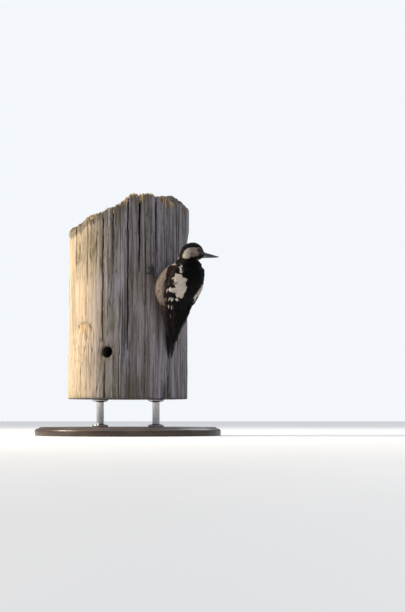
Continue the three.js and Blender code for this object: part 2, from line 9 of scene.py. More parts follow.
import bpy
import numpy as np
from mathutils import Vector
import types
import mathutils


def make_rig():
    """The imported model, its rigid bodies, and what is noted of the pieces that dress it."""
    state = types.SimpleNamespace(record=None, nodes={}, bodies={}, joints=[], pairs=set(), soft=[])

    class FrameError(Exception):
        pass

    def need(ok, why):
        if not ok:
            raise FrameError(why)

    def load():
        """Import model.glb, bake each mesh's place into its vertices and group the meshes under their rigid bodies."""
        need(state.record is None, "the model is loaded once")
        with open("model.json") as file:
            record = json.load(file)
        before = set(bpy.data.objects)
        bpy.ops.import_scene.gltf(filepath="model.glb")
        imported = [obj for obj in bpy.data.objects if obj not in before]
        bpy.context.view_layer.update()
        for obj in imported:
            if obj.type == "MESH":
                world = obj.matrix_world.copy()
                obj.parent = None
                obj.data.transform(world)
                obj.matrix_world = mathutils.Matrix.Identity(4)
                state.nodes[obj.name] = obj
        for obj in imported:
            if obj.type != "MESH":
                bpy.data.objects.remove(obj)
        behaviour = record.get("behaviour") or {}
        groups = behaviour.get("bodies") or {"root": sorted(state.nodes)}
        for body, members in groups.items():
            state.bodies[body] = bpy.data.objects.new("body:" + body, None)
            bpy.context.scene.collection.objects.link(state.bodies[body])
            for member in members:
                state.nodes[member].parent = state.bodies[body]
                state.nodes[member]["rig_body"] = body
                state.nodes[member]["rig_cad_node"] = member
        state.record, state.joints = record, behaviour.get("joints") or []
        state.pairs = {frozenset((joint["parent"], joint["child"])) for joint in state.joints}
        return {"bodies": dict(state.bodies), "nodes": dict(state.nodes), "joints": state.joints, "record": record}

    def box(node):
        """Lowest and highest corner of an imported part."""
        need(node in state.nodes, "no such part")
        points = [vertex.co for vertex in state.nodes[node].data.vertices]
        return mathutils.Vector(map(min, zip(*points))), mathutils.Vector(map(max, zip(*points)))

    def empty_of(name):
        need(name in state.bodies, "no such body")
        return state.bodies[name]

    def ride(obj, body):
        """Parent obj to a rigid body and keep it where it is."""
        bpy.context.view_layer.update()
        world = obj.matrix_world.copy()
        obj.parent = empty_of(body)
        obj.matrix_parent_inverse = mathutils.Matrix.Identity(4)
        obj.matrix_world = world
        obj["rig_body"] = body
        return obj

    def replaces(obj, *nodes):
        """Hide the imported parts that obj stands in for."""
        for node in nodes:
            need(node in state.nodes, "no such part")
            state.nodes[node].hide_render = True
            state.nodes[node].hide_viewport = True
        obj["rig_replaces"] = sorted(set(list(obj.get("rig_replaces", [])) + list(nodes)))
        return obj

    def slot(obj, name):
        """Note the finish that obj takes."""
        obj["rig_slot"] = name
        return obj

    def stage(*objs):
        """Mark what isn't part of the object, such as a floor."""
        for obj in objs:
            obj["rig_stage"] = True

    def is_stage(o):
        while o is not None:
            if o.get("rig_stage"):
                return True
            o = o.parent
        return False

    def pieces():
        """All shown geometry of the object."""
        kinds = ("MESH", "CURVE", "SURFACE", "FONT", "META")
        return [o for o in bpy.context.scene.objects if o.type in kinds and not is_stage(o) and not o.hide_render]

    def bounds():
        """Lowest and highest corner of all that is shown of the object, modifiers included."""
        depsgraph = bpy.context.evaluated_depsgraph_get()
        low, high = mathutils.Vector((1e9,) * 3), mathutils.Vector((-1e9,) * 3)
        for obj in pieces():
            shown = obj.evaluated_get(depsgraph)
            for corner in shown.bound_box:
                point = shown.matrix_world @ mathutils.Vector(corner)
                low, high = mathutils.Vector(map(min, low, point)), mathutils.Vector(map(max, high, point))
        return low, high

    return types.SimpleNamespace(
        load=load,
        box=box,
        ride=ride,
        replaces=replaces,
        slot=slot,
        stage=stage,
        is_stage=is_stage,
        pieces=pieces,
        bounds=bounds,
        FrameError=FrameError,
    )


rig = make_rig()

bl_info = {
    "name": "Woodpecker on a Pole",
    "version": (1, 0, 0),
    "blender": (4, 5, 0),
    "location": "3D View > Sidebar > Woodpecker",
    "description": "Builds a life-size woodpecker on a cut length of pole with a display stand",
    "category": "Add Mesh",
}

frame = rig.load()
CAD_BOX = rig.bounds()
SIZE_FILE = "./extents.json"
MM = 0.001
UP = np.array((0.0, 0.0, 1.0))

# ------------------------------------------------------------------ driving dimensions
HEAD_CENTRE = np.array((106.8, -112.0, 294.6))
HEAD_FACING, HEAD_DIP = 12.0, 6.0
# Sections of the body, rump to shoulders: bearing, distance out and height of the centre; the way the back faces,
# its lean; radii to the back, belly and side; depth of the bed that the wings lie in.
BODY = np.array([
    (45.4, 104.5, 150, -45, 15, 2.2, 2.2, 7.0, 0.0),
    (44.0, 109.0, 166, -45, 16, 5.5, 5.0, 13.0, 0.0),
    (42.6, 115.5, 185, -46, 18, 12.5, 10.5, 19.3, 2.2),
    (41.2, 121.0, 204, -47, 19, 20.0, 18.5, 26.5, 3.6),
    (39.7, 126.5, 222, -48, 19, 27.0, 25.0, 34.5, 4.4),
    (40.4, 131.5, 238, -48, 17, 31.5, 29.0, 37.8, 4.6),
    (41.4, 136.0, 250, -48, 15, 31.5, 30.5, 35.2, 4.2),
    (42.0, 140.0, 260, -52, 12, 29.5, 29.0, 31.0, 2.6),
    (42.0, 145.0, 270, -72, 8, 24.0, 23.5, 25.5, 1.6),
])
# Sections of the neck and head: x and z in the head's frame; fan from upright, twist; radii to back, belly, side.
CRANIUM = np.array([
    (-5.4, -17.0, 90, 34, 15.6, 16.6, 15.8),
    (-4.8, -10.5, 78, 8, 14.2, 16.6, 14.6),
    (-2.8, -4.8, 62, 0, 15.2, 17.0, 14.2),
    (2.0, -2.2, 45, 0, 16.0, 15.2, 14.0),
    (8.6, -2.4, 24, 0, 16.2, 11.6, 12.6),
    (14.0, -4.0, 8, 0, 12.6, 7.8, 9.8),
    (17.4, -5.2, 0, 0, 6.4, 5.2, 6.2),
    (18.6, -5.4, 0, 0, 4.4, 4.2, 4.4),
])
SQUARENESS = 2.2
TAIL_END, BILL_END = 0.0, 16.0
EYE = {"x": 9.6, "z": 0.6, "radius": 3.1, "set": 9.4, "forward": 10.0}
BILL = {"length": 25.5, "x": 19.1, "z": -5.4, "width": 8.6, "height": 8.6, "split": -0.6, "upper": 0.56, "lower": 0.42}
WING_LOWER = np.array((26, 66, 82, 76, 73, 76, 80, 78, 60.0))
WING_UPPER = np.array((20, 16, 10, 16, 34, 52, 57, 58, 56.0))
TAIL_ROOT, TAIL_TIP = (42.6, 117.0, 199.0), (45.0, 99.7, 126.4)
TAIL = {"length": 78, "width": 8.6, "spread": 1.6, "bow": 0.8, "layer": 0.55, "roundness": 95}
TAIL_PAIRS = ((0, 3.6), (6, 5.6), (13, 7.8), (21, 9.8), (31, 11.4))  # shorter by, tip's distance from the midline
FEET = {
    "left": {"bearing": 26.6, "z": 260.5, "heel": (28.2, 11, 243.0), "outward": -1},
    "right": {"bearing": 59.5, "z": 253.0, "heel": (56.0, 11, 236.5), "outward": 1},
}
TOES = ((16, 10.5, 1.2, 5.8), (48, 12.5, 1.3, 6.4), (96, 12.0, 1.3, 5.8), (214, 6.0, 1.05, 5.0))
POLE_RADIUS, POLE_BOTTOM, POLE_TOP = 98.0, 60.0, 400.0
# Drying cracks in the pole: bearing, lowest and highest point, half width, depth.
CRACKS = np.array([
    (-58, 250, 450, 1.2, 9), (-22.3, 148, 450, 1.4, 15), (-20, 30, 121, 1.2, 9), (-12, 275, 450, 1.2, 13),
    (2, 135, 450, 0.9, 15), (13, 262, 450, 2.3, 16), (29.7, 280, 450, 2.4, 14), (42.5, 30, 122, 1.3, 10),
    (98, 160, 450, 2.0, 15), (133, 270, 450, 1.6, 12), (170, 40, 450, 2.2, 18), (214, 230, 450, 1.8, 14),
    (251, 150, 450, 1.6, 14), (18.6, 40, 345, 0.6, 7), (41.5, 250, 345, 1.2, 7), (55, 296, 450, 1.1, 8),
    (-40, 240, 345, 0.7, 6), (-6, 20, 200, 0.5, 5),
])
BOLT_HOLE = {"bearing": -17.8, "z": 134.0, "radius": 9.5, "depth": 32.0}
SCAR = {"bearing": -44.0, "z": 181.0, "width": 16.5, "height": 32.0, "depth": 2.4}


# ------------------------------------------------------------------ numbers and noise
def ease(t):
    """A step from 0 to 1 with level ends: t squared times (3 - 2 t)."""
    t = np.clip(t, 0.0, 1.0)
    return t * t * (3.0 - 2.0 * t)


def band(value, low, high, soft):
    """1 between two limits, easing to 0 over soft at each."""
    return ease((value - low) / soft + 0.5) * ease((high - value) / soft + 0.5)


def smooth(values, t):
    """A Catmull-Rom curve through evenly spaced values (rows), read at t."""
    last = len(values) - 1
    i = np.clip(np.floor(t), 0, last - 1).astype(int)
    f = t - i
    a, b, c, d = (values[np.clip(i + k, 0, last)] for k in (-1, 0, 1, 2))
    if values.ndim > 1:
        f = f[..., None]
    return b + 0.5 * f * (c - a + f * (2 * a - 5 * b + 4 * c - d + f * (3 * (b - c) + d - a)))


def noise(x, y, z=0.0, seed=0):
    """Value noise in 0..1: hashed values at whole-numbered corners, blended along each axis by an ease curve."""
    x, y, z = np.broadcast_arrays(np.asarray(x, float), np.asarray(y, float), np.asarray(z, float))
    whole = [np.floor(v).astype(np.int64) for v in (x, y, z)]
    part = [ease(v - w) for v, w in zip((x, y, z), whole)]
    total = np.zeros(x.shape)
    for corner in range(8):
        step = [(corner >> k) & 1 for k in range(3)]
        h = (whole[0] + step[0]) * 374761393 + (whole[1] + step[1]) * 668265263
        h = (h + (whole[2] + step[2]) * 1442695041 + seed * 97531) & 0xFFFFFFFF
        h = ((h ^ (h >> 13)) * 1274126177) & 0xFFFFFFFF
        h = ((h ^ (h >> 16)) * 2246822519) & 0xFFFFFFFF
        weight = np.prod([p if s else 1.0 - p for p, s in zip(part, step)], axis=0)
        total += weight * (h ^ (h >> 15)) / 0xFFFFFFFF
    return total


def unit(v):
    return v / np.linalg.norm(v, axis=-1, keepdims=True)


def round_pole(bearing, out, z):
    """The place at a bearing round the pole, a distance out from its axis and a height."""
    turn = np.radians(bearing)
    return np.stack(np.broadcast_arrays(out * np.sin(turn), -out * np.cos(turn), z), -1)


# ------------------------------------------------------------------ the body's surface
def head_axes():
    """Unit vectors to the bill, to the head's left and to its crown."""
    facing, dip = np.radians(HEAD_FACING), np.radians(-HEAD_DIP)
    level = np.array((np.cos(facing), np.sin(facing), 0.0))
    to_bill = level * np.cos(dip) + UP * np.sin(dip)
    to_crown = UP * np.cos(dip) - level * np.sin(dip)
    return to_bill, np.cross(to_crown, to_bill), to_crown


TO_BILL, TO_LEFT, TO_CROWN = head_axes()


def head_place(x, y, z):
    """The place at x, y, z in the head's frame."""
    x, y, z = (np.asarray(v, float)[..., None] for v in np.broadcast_arrays(x, y, z))
    return HEAD_CENTRE + x * TO_BILL + y * TO_LEFT + z * TO_CROWN


def in_head(points):
    """Points as x, y, z in the head's frame."""
    return (points - HEAD_CENTRE) @ np.column_stack((TO_BILL, TO_LEFT, TO_CROWN))


def body_stations():
    """One row for each station: centre, facing, lean, radii to back, belly and side, and bed depth."""
    trunk = np.column_stack((round_pole(*BODY[:, :3].T), BODY[:, 3:]))
    x, z, fan, twist = CRANIUM[:, :4].T
    turned = np.column_stack((HEAD_FACING - 180 + twist, fan - 90 - HEAD_DIP))
    head = np.column_stack((head_place(x, 0.0, z), turned, CRANIUM[:, 4:], np.zeros(len(x))))
    return np.vstack((trunk, head))


STATIONS = body_stations()


def body_point(t, angle, lift=0.0):
    """A place on the body. Each section is a squarish oval whose radius at an angle is
    (|cos/high|^p + |sin/side|^p)^(-1/p), less the wings' bed, plus the lift."""
    t, angle, lift = np.broadcast_arrays(*(np.asarray(v, float) for v in (t, angle, lift)))
    s = smooth(STATIONS, t)
    facing, lean = np.radians(s[..., 3]), np.radians(s[..., 4])[..., None]
    out = np.stack((np.cos(facing), np.sin(facing), 0 * facing), -1)
    to_back = out * np.cos(lean) - UP * np.sin(lean)
    to_left = np.cross(to_back, out * np.sin(lean) + UP * np.cos(lean))
    turn = np.radians(angle)
    c, w = np.cos(turn), np.sin(turn)
    oval = np.abs(c / np.where(c > 0, s[..., 5], s[..., 6])) ** SQUARENESS + np.abs(w / s[..., 7]) ** SQUARENESS
    off = off_midline(angle)
    bed = s[..., 8] * ease((off - 14) / 26) * ease((98 - off) / 22)
    radius = oval ** (-1 / SQUARENESS) - bed + lift
    return s[..., :3] + to_back * (radius * c)[..., None] + to_left * (radius * w)[..., None]


def off_midline(angle):
    """How far an angle round the body is from the middle of the back, 0 to 180."""
    return np.abs((np.asarray(angle) + 180) % 360 - 180)


def from_eye(points):
    """Distance of points from the line through both eyes, across the head."""
    x, _, z = np.moveaxis(in_head(points), -1, 0)
    return np.hypot(x - EYE["x"], z - EYE["z"])


def metric(surface, t, angle):
    """Millimetres covered by one station and by one degree at places on a surface."""
    along = np.linalg.norm(surface(t + 0.02, angle) - surface(t - 0.02, angle), axis=-1) / 0.04
    around = np.linalg.norm(surface(t, angle + 1) - surface(t, angle - 1), axis=-1) / 2
    return along, around


# ------------------------------------------------------------------ markings
def blob(t, off, centre, size, power=2.0):
    """A soft-edged oval patch in station and angle: 1 inside, easing to 0 at its edge."""
    d = np.abs((t - centre[0]) / size[0]) ** power + np.abs((off - centre[1]) / size[1]) ** power
    return ease((1.15 - d) / 0.3)


def black_cap(t):
    """Half the width, in degrees, of the black that runs from the crown down the nape."""
    return np.interp(t, (9.0, 9.5, 10, 11, 12, 13, 14, 15, 16), (15, 21, 35, 51, 61, 63, 66, 74, 74))


def markings(t, angle, points):
    """White, buff, red and warm-brown shares of the plumage at places: the rest is black.
    Patches are ovals and bands in station, angle and head-frame coordinates."""
    off = off_midline(angle)
    left = ease((np.asarray(angle) % 360 < 180) * 1.0)
    x, _, z = np.moveaxis(in_head(points), -1, 0)
    on_head = ease((t - 8.9) / 0.2)
    # the cheek, between the cap and the moustache: cream behind, pinkish in the middle, dark round the eye and lores
    moustache_z = np.interp(x, (-6, 0, 8, 12, 17.5), (-17.0, -15.0, -11.8, -9.8, -7.6))
    moustache_half = np.interp(x, (-4, 4, 12, 18), (3.8, 3.2, 2.5, 1.5))
    moustache = band(z, moustache_z - moustache_half, moustache_z + moustache_half, 0.8) * ease((x + 9) / 3)
    cheek = ease((off - black_cap(t)) / 5 + 0.5) * ease((t - 9.0) / 0.12) * (1 - moustache)
    throat = ease((moustache_z - moustache_half - z) / 0.8) * ease((x + 2) / 3) * on_head
    cheek = cheek * (1 - throat)
    cream = ease((-4.0 - x) / 5.5)
    front = ease((x - 6.2) / 4.0)
    low = ease((-3.5 - z) / 4.0) * ease((x + 8) / 4)
    lore = blob(x, z, (15.6, -3.1), (2.4, 1.5))
    behind = ease((angle - 48) / 14) * ease((150 - angle) / 30) * band(t, 8.15, 9.1, 0.2)
    # underparts
    edge = np.interp(t, (0, 2, 3, 3.7, 5, 6, 7, 7.6, 8.3, 9.0), (88, 82, 78, 76, 80, 86, 97, 103, 104, 112))
    under = ease((off - edge) / 6 + 0.5) * (1 - on_head)
    breast_bar = blob(t, off, (8.55, 112), (0.55, 13)) * (1 - left)
    red = 0.75 * ease((3.75 - t) / 0.9) * ease((off - 88) / 22)
    # towards the vent the belly keeps only a tenth of its buff: partly its own darker colour, partly painted shade
    # between the bird and the pole
    under = under * np.interp(t, (2.8, 3.7), (0.1, 1.0))
    # the white shoulder patch: an oval, and a streak above it
    middle = 5.0 + 0.6 * left
    oval_middle = 40 + 8 * (t - middle)
    oval = blob((t - middle) / (0.8 + 0.46 * left), off - oval_middle, (0, 0), (1, 13.8), 2.4)
    streak_half = np.interp(t, (7.1, 7.6, 8.4), (5.2, 3.4, 2.0))
    streak_middle = np.interp(t, (7.1, 7.7, 8.4), (46, 43, 25)) + 17 * (1 - left)
    streak = band(t, 7.12, 7.7 + 0.7 * left, 0.12) * ease((streak_half - np.abs(off - streak_middle)) / 2 + 0.5)
    # small white spots: station, angle, and half the length and width in the same
    spots = 0.0
    for station, place, tall, wide in ((6.15, 60, 0.2, 8), (5.3, 64, 0.24, 4.0), (4.66, 68, 0.17, 3.6), (4.87, 55, 0.14, 6.5),
                                       (4.02, 51, 0.14, 5), (4.07, 37, 0.07, 2.5), (0.98, 95, 0.14, 7)):
        spots = spots + blob(t, off, (station, place), (tall, wide))
    white = np.clip(oval + streak + spots, 0, 1) * (1 - on_head)
    pinkish = cheek * (1 - cream) * (1 - 0.82 * front) * (1 - 0.45 * low)
    white = np.clip(white + (0.66 * cream + 0.16 * pinkish) * cheek + 0.5 * behind + 0.5 * throat, 0, 1)
    buff = np.clip(pinkish + 0.6 * cheek * cream + behind + 0.9 * throat + under * (1 - breast_bar) + 0.4 * lore, 0, 1)
    brown = cheek + ease((off - 46) / 14) * (1 - on_head) + under
    return np.stack((white, buff, red, np.clip(brown, 0, 1)), -1)


# ------------------------------------------------------------------ meshes
def new_piece(name, points, polygons, material, slot=None, floats=None, bake=None, outline=None, stand_for=()):
    """A mesh object from an array of points in mm and arrays of polygon corners. floats holds point attributes,
    bake the OFBake map for each point, and outline marks points whose joining edges stay sharp."""
    points = np.asarray(points, float).reshape(-1, 3)
    mesh = bpy.data.meshes.new(name)
    corners = np.concatenate([p.ravel() for p in polygons]).astype(np.int32)
    sizes = np.concatenate([np.full(len(p), p.shape[1]) for p in polygons])
    mesh.vertices.add(len(points))
    mesh.vertices.foreach_set("co", (points * MM).astype(np.float32).ravel())
    mesh.loops.add(len(corners))
    mesh.loops.foreach_set("vertex_index", corners)
    mesh.polygons.add(len(sizes))
    mesh.polygons.foreach_set("loop_start", np.concatenate(((0,), np.cumsum(sizes)[:-1])).astype(np.int32))
    mesh.update(calc_edges=True)
    mesh.shade_smooth()
    if outline is not None:
        ends = np.zeros(2 * len(mesh.edges), np.int32)
        mesh.edges.foreach_get("vertices", ends)
        sharp = mesh.attributes.new("sharp_edge", "BOOLEAN", "EDGE")
        sharp.data.foreach_set("value", outline[ends].reshape(-1, 2).all(1))
    for key, values in (floats or {}).items():
        values = np.asarray(values, np.float32).reshape(len(points), -1)
        kind, field = {1: ("FLOAT", "value"), 3: ("FLOAT_VECTOR", "vector"), 4: ("FLOAT_COLOR", "color")}[values.shape[1]]
        mesh.attributes.new(key, kind, "POINT").data.foreach_set(field, values.ravel())
    if bake is not None:
        layer = mesh.uv_layers.new(name="OFBake")
        layer.data.foreach_set("uv", bake.reshape(-1, 2)[corners].astype(np.float32).ravel())
    if mesh.validate():
        raise RuntimeError(name + " has faces that aren't sound")
    mesh.materials.append(material)
    piece = bpy.data.objects.new(name, mesh)
    bpy.context.scene.collection.objects.link(piece)
    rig.ride(piece, "root")
    if slot:
        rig.slot(piece, slot)
    if stand_for:
        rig.replaces(piece, *stand_for)
    return piece


def tube(rings):
    """A closed skin over rings of points (rings, round, 3): quads from ring to ring, and a fan to each end's middle.
    Returns its points and polygons, facing outwards."""
    m, k = rings.shape[:2]
    at = np.arange(m * k).reshape(m, k)
    onward = np.roll(at, -1, axis=1)
    quads = np.stack((at[:-1], onward[:-1], onward[1:], at[1:]), -1).reshape(-1, 4)
    first, last = m * k, m * k + 1
    fans = [np.column_stack((onward[0], at[0], np.full(k, first))), np.column_stack((at[-1], onward[-1], np.full(k, last)))]
    points = np.vstack((rings.reshape(-1, 3), rings[0].mean(0), rings[-1].mean(0)))
    a, b, c = (points[quads[:, i]] - points.mean(0) for i in (0, 1, 2))
    if np.einsum("ij,ij->", a, np.cross(b, c)) < 0:
        quads, fans = quads[:, ::-1], [f[:, ::-1] for f in fans]
    return points, [quads, np.vstack(fans)]


def joined(parts):
    """Several (points, polygons, extras) as one, with their polygon corners renumbered. Extras are dicts of arrays."""
    points, quads, tris, extras, start = [], [], [], {}, 0
    for part in parts:
        for p in part[1]:
            (quads if p.shape[1] == 4 else tris).append(p + start)
        points.append(part[0])
        start += len(part[0])
        for key, values in (part[2] if len(part) > 2 else {}).items():
            extras.setdefault(key, []).append(values)
    polygons = [np.vstack(kind) for kind in (quads, tris) if kind]
    return np.vstack(points), polygons, {k: np.concatenate(v) for k, v in extras.items()}


def sweep(path, radius, sides, count, flat=1.0, up=UP):
    """A round or oval rod: a circle of the radius at u, squeezed by flat, carried along a smooth path of points."""
    u = np.linspace(0, 1, count)
    middle = smooth(np.asarray(path, float), u * (len(path) - 1))
    ahead = unit(np.gradient(middle, axis=0))
    side = unit(np.cross(ahead, np.broadcast_to(up, ahead.shape)))
    over = np.cross(side, ahead)
    turn = np.linspace(0, 2 * np.pi, sides, endpoint=False)
    r = np.asarray(radius(u[:, None], turn[None, :]))[..., None]
    return middle[:, None] + r * (flat * np.cos(turn)[None, :, None] * side[:, None] + np.sin(turn)[None, :, None] * over[:, None])


# ------------------------------------------------------------------ small feathers
def vane_template(barbs, variants, seed, width=1.0):
    """The shape of a small feather, in u along, v across and w through it: a closed blade of four-point rings,
    with a few loose barbs springing from it as thin three-sided spindles. Each variant places its barbs anew.
    Returns the coordinates, the bake coordinates, the polygons and the outline points."""
    rng = np.random.default_rng(seed)
    ring_u, ring_half = (0.1, 0.36, 0.66, 0.88), (0.45, 0.9, 1.0, 0.66)
    rows = [(0, 0, 0)] + [p for u, h in zip(ring_u, ring_half) for p in ((u, -h, 0), (u, 0, 1), (u, h, 0), (u, 0, -1))]
    blade = np.array(rows + [(1, 0, 0)], float)
    tip = len(blade) - 1
    tris = [(0, 1 + k, 1 + (k + 1) % 4) for k in range(4)] + [(tip, 13 + (k + 1) % 4, 13 + k) for k in range(4)]
    quads = [(1 + 4 * r + k, 5 + 4 * r + k, 5 + 4 * r + (k + 1) % 4, 1 + 4 * r + (k + 1) % 4) for r in range(3) for k in range(4)]
    outline = np.zeros(len(blade) + 8 * barbs, bool)
    outline[[0, tip] + [1 + 4 * r + k for r in range(4) for k in (0, 2)]] = True
    for b in range(barbs):
        s = len(blade) + 8 * b
        tris += [(s, s + 1 + k, s + 1 + (k + 1) % 3) for k in range(3)]
        tris += [(s + 7, s + 4 + (k + 1) % 3, s + 4 + k) for k in range(3)]
        quads += [(s + 1 + k, s + 4 + k, s + 4 + (k + 1) % 3, s + 1 + (k + 1) % 3) for k in range(3)]
    shapes, maps = [], []
    for _ in range(variants):
        shape = blade * (1, width, 1)
        shape[1:tip, 1] += rng.normal(0, 0.05, tip - 1)
        pieces, flat = [shape], [blade[:, [1, 0]]]
        for b in range(barbs):
            share = (b + 0.5) / barbs * 2 - 1 + rng.normal(0, 0.1)
            start = np.array((0.72 - 0.3 * abs(share) + rng.uniform(-0.06, 0.06), 0.55 * share * width, 0.6))
            reach = np.array((rng.uniform(0.26, 0.42), rng.uniform(0.3, 0.75) * share * width, rng.uniform(-0.5, 1.6)))
            thin = rng.uniform(0.07, 0.12) * width
            spread = np.array(((0, -thin, 0), (0, 0, 0.5), (0, thin, 0)))
            pieces.append(np.vstack((start, start + reach * 0.3 + spread, start + reach * 0.7 + spread * 0.8, start + reach)))
            wide = np.array((-0.4, 0, 0.4))
            flat.append(np.vstack(((share, 0), np.column_stack((share + wide, (0.3, 0.38, 0.3))),
                                   np.column_stack((share + wide, (0.7, 0.78, 0.7))), (share, 1))))
        shapes.append(np.vstack(pieces))
        maps.append(np.vstack(flat))
    return np.array(shapes), np.array(maps), (np.array(quads), np.array(tris)), outline


TUFT = vane_template(0, 6, 3, 0.9)
VANE = vane_template(4, 8, 5)
PLUME = vane_template(5, 8, 7, 0.85)


def rows_over(surface, span, angles, spacing, rng, jitter=0.3):
    """Places in staggered rows over a patch of a surface, a spacing apart both ways. Rows follow the side where
    they stand furthest apart, and places are thinned where they crowd. span and angles are (from, to)."""
    fine = np.linspace(span[0], span[1], 60)
    across = np.linspace(angles[0], angles[1], 13)
    along, around = metric(surface, fine[:, None], across[None, :])
    gap = spacing(fine) if callable(spacing) else np.full(len(fine), float(spacing))
    count = np.concatenate(((0,), np.cumsum(0.5 * np.diff(fine) * (along.max(1) / gap)[1:] + 0.5 * np.diff(fine) * (along.max(1) / gap)[:-1])))
    stations = np.interp(np.arange(0.5, count[-1], 1.0), count, fine)
    places = []
    for number, t in enumerate(stations):
        step = np.interp(t, fine, gap)
        widths = np.array([np.interp(t, fine, around[:, k]) for k in range(len(across))])
        reach = np.concatenate(((0,), np.cumsum(0.5 * (widths[1:] + widths[:-1]) * np.diff(across))))
        n = max(2, int(round(reach[-1] / step)))
        angle = np.interp((np.arange(n) + 0.25 + 0.5 * (number % 2)) / n * reach[-1], reach, across)
        keep = rng.random(n) < np.interp(angle, across, [np.interp(t, fine, along[:, k]) for k in range(len(across))]) / np.interp(t, fine, along.max(1))
        spread = rng.normal(0, jitter, (2, n)) * step
        angle = angle + spread[0] / np.interp(angle, across, widths)
        station = t + spread[1] / np.interp(t, fine, along.max(1))
        places.append(np.column_stack((station, angle))[keep])
    return np.vstack(places).T


def lay(surface, template, t, angle, length, width, rng, turn=0.0, low=-1.6, high=0.3, thick=0.12, arch=0.3, bed=None,
        marks=markings, unwrap=None, spotted=False):
    """Small feathers laid on a surface, as (points, polygons, extras). Each point of the template becomes a step
    along and across from the feather's root, turned by turn, and a lift that rises from low at the root to high.
    A feather has one colour, that of the place near its tip, unless it is spotted."""
    shapes, maps, polygons, outline = template
    n = len(t)
    t, angle, length, width, turn, low, high = (np.broadcast_to(v, n).astype(float)[:, None] for v in (t, angle, length, width, turn, low, high))
    kind = rng.integers(len(shapes), size=n)
    u, v, w = np.moveaxis(shapes[kind], -1, 0)
    per_t, per_angle = metric(surface, t, angle)
    c, s = np.cos(np.radians(turn)), np.sin(np.radians(turn))
    along, across = u * length, v * width / 2
    at = t - (along * c - across * s) / per_t
    around = angle + (along * s + across * c) / per_angle
    lift = low + (high - low) * (1 - (1 - np.clip(u, 0, 1)) ** 1.7) + w * thick + arch * (1 - v * v) * np.sin(np.pi * np.clip(u, 0, 1))
    if bed is not None:
        lift = lift + bed(at, around)
    points = surface(at, around, lift)
    tip_t, tip_angle = t - 0.75 * length * c / per_t, angle + 0.75 * length * s / per_angle
    if spotted:
        tip_t, tip_angle = at, around
    shares = marks(tip_t, tip_angle, surface(tip_t, tip_angle))
    chance = rng.random((n, 1))
    m = u.shape[1]
    extras = {
        "marks": np.broadcast_to(shares, (n, m, 4)).reshape(-1, 4),
        "vane": np.stack((u, v, np.broadcast_to(chance, u.shape)), -1).reshape(-1, 3),
        "bake": (np.column_stack((angle, t) if unwrap is None else unwrap)[:, None, :] + 0 * maps[kind]).reshape(-1, 2),
        "patch": (maps[kind] * (0.0015, 0.003) - (0, 0.0015)).reshape(-1, 2),
        "outline": np.tile(outline, n),
    }
    start = (np.arange(n) * m)[:, None, None]
    return points.reshape(-1, 3), [(start + p[None]).reshape(-1, p.shape[1]) for p in polygons], extras


def coat_piece(name, parts, material, **options):
    """One coat piece from sets of laid feathers. Its bake map puts each feather at its root's place on the
    unwrapped body, stretched to fill the square."""
    points, polygons, extras = joined(parts)
    place = extras.pop("bake")
    low, high = place.min(0), place.max(0)
    bake = 0.01 + 0.98 * (place - low) / (high - low) + extras.pop("patch")
    outline = extras.pop("outline")
    return new_piece(name, points, polygons, material, slot="plumage", floats=extras, bake=np.clip(bake, 0, 1),
                     outline=outline, **options)


def clear_of(places, test):
    """Only those places (stations, angles) that pass a test of station, angle and point."""
    t, angle = places
    keep = test(t, angle, body_point(t, angle))
    return t[keep], angle[keep]


# ------------------------------------------------------------------ nodes
def put(tree, kind, inputs=None, **settings):
    """Adds a shader node. inputs maps sockets to a value, or to another node's output, which is linked."""
    node = tree.nodes.new("ShaderNode" + kind)
    node.location = (230 * (len(tree.nodes) % 12), -190 * (len(tree.nodes) // 12))
    for key, value in settings.items():
        setattr(node, key, value)
    for key, value in (inputs or {}).items():
        if isinstance(value, bpy.types.NodeSocket):
            tree.links.new(value, node.inputs[key])
        else:
            node.inputs[key].default_value = value
    return node


def math(tree, operation, a, b=0.0, c=0.0, clamp=False):
    return put(tree, "Math", {0: a, 1: b, 2: c}, operation=operation, use_clamp=clamp).outputs[0]


def span(tree, value, low, high, to_low=0.0, to_high=1.0):
    """Maps a value between two limits to another pair, smoothly and held at the ends."""
    settings = {"interpolation_type": "SMOOTHSTEP"}
    return put(tree, "MapRange", {0: value, 1: low, 2: high, 3: to_low, 4: to_high}, **settings).outputs[0]


def blend(tree, share, a, b, kind="MIX"):
    a, b = ((*v, 1.0) if isinstance(v, tuple) and len(v) == 3 else v for v in (a, b))
    return put(tree, "Mix", {0: share, 6: a, 7: b}, data_type="RGBA", blend_type=kind).outputs[2]


def speckle(tree, place, scale, detail=3.0, roughness=0.55, distortion=0.0):
    values = {"Vector": place, "Scale": scale, "Detail": detail, "Roughness": roughness, "Distortion": distortion}
    return put(tree, "TexNoise", values).outputs[0]


def parts_of(tree, vector):
    return put(tree, "SeparateXYZ", {0: vector}).outputs


def read(tree, name, output="Vector"):
    return put(tree, "Attribute", attribute_name=name, attribute_type="GEOMETRY").outputs[output]


def stretched(tree, scale):
    """Object coordinates, scaled along each axis."""
    place = put(tree, "TexCoord").outputs["Object"]
    return put(tree, "Mapping", {"Vector": place, "Scale": scale}).outputs[0]


def group(name, inputs, outputs, fill):
    """A shader node group with named float, colour or vector sockets, filled by a function of its tree and inputs."""
    tree = bpy.data.node_groups.new(name, "ShaderNodeTree")
    for socket, kind, value in inputs:
        made = tree.interface.new_socket(name=socket, in_out="INPUT", socket_type="NodeSocket" + kind)
        if value is not None:
            made.default_value = value
    for socket, kind in outputs:
        tree.interface.new_socket(name=socket, in_out="OUTPUT", socket_type="NodeSocket" + kind)
    source = tree.nodes.new("NodeGroupInput")
    results = fill(tree, source.outputs)
    sink = tree.nodes.new("NodeGroupOutput")
    for socket, value in results.items():
        tree.links.new(value, sink.inputs[socket])
    return tree


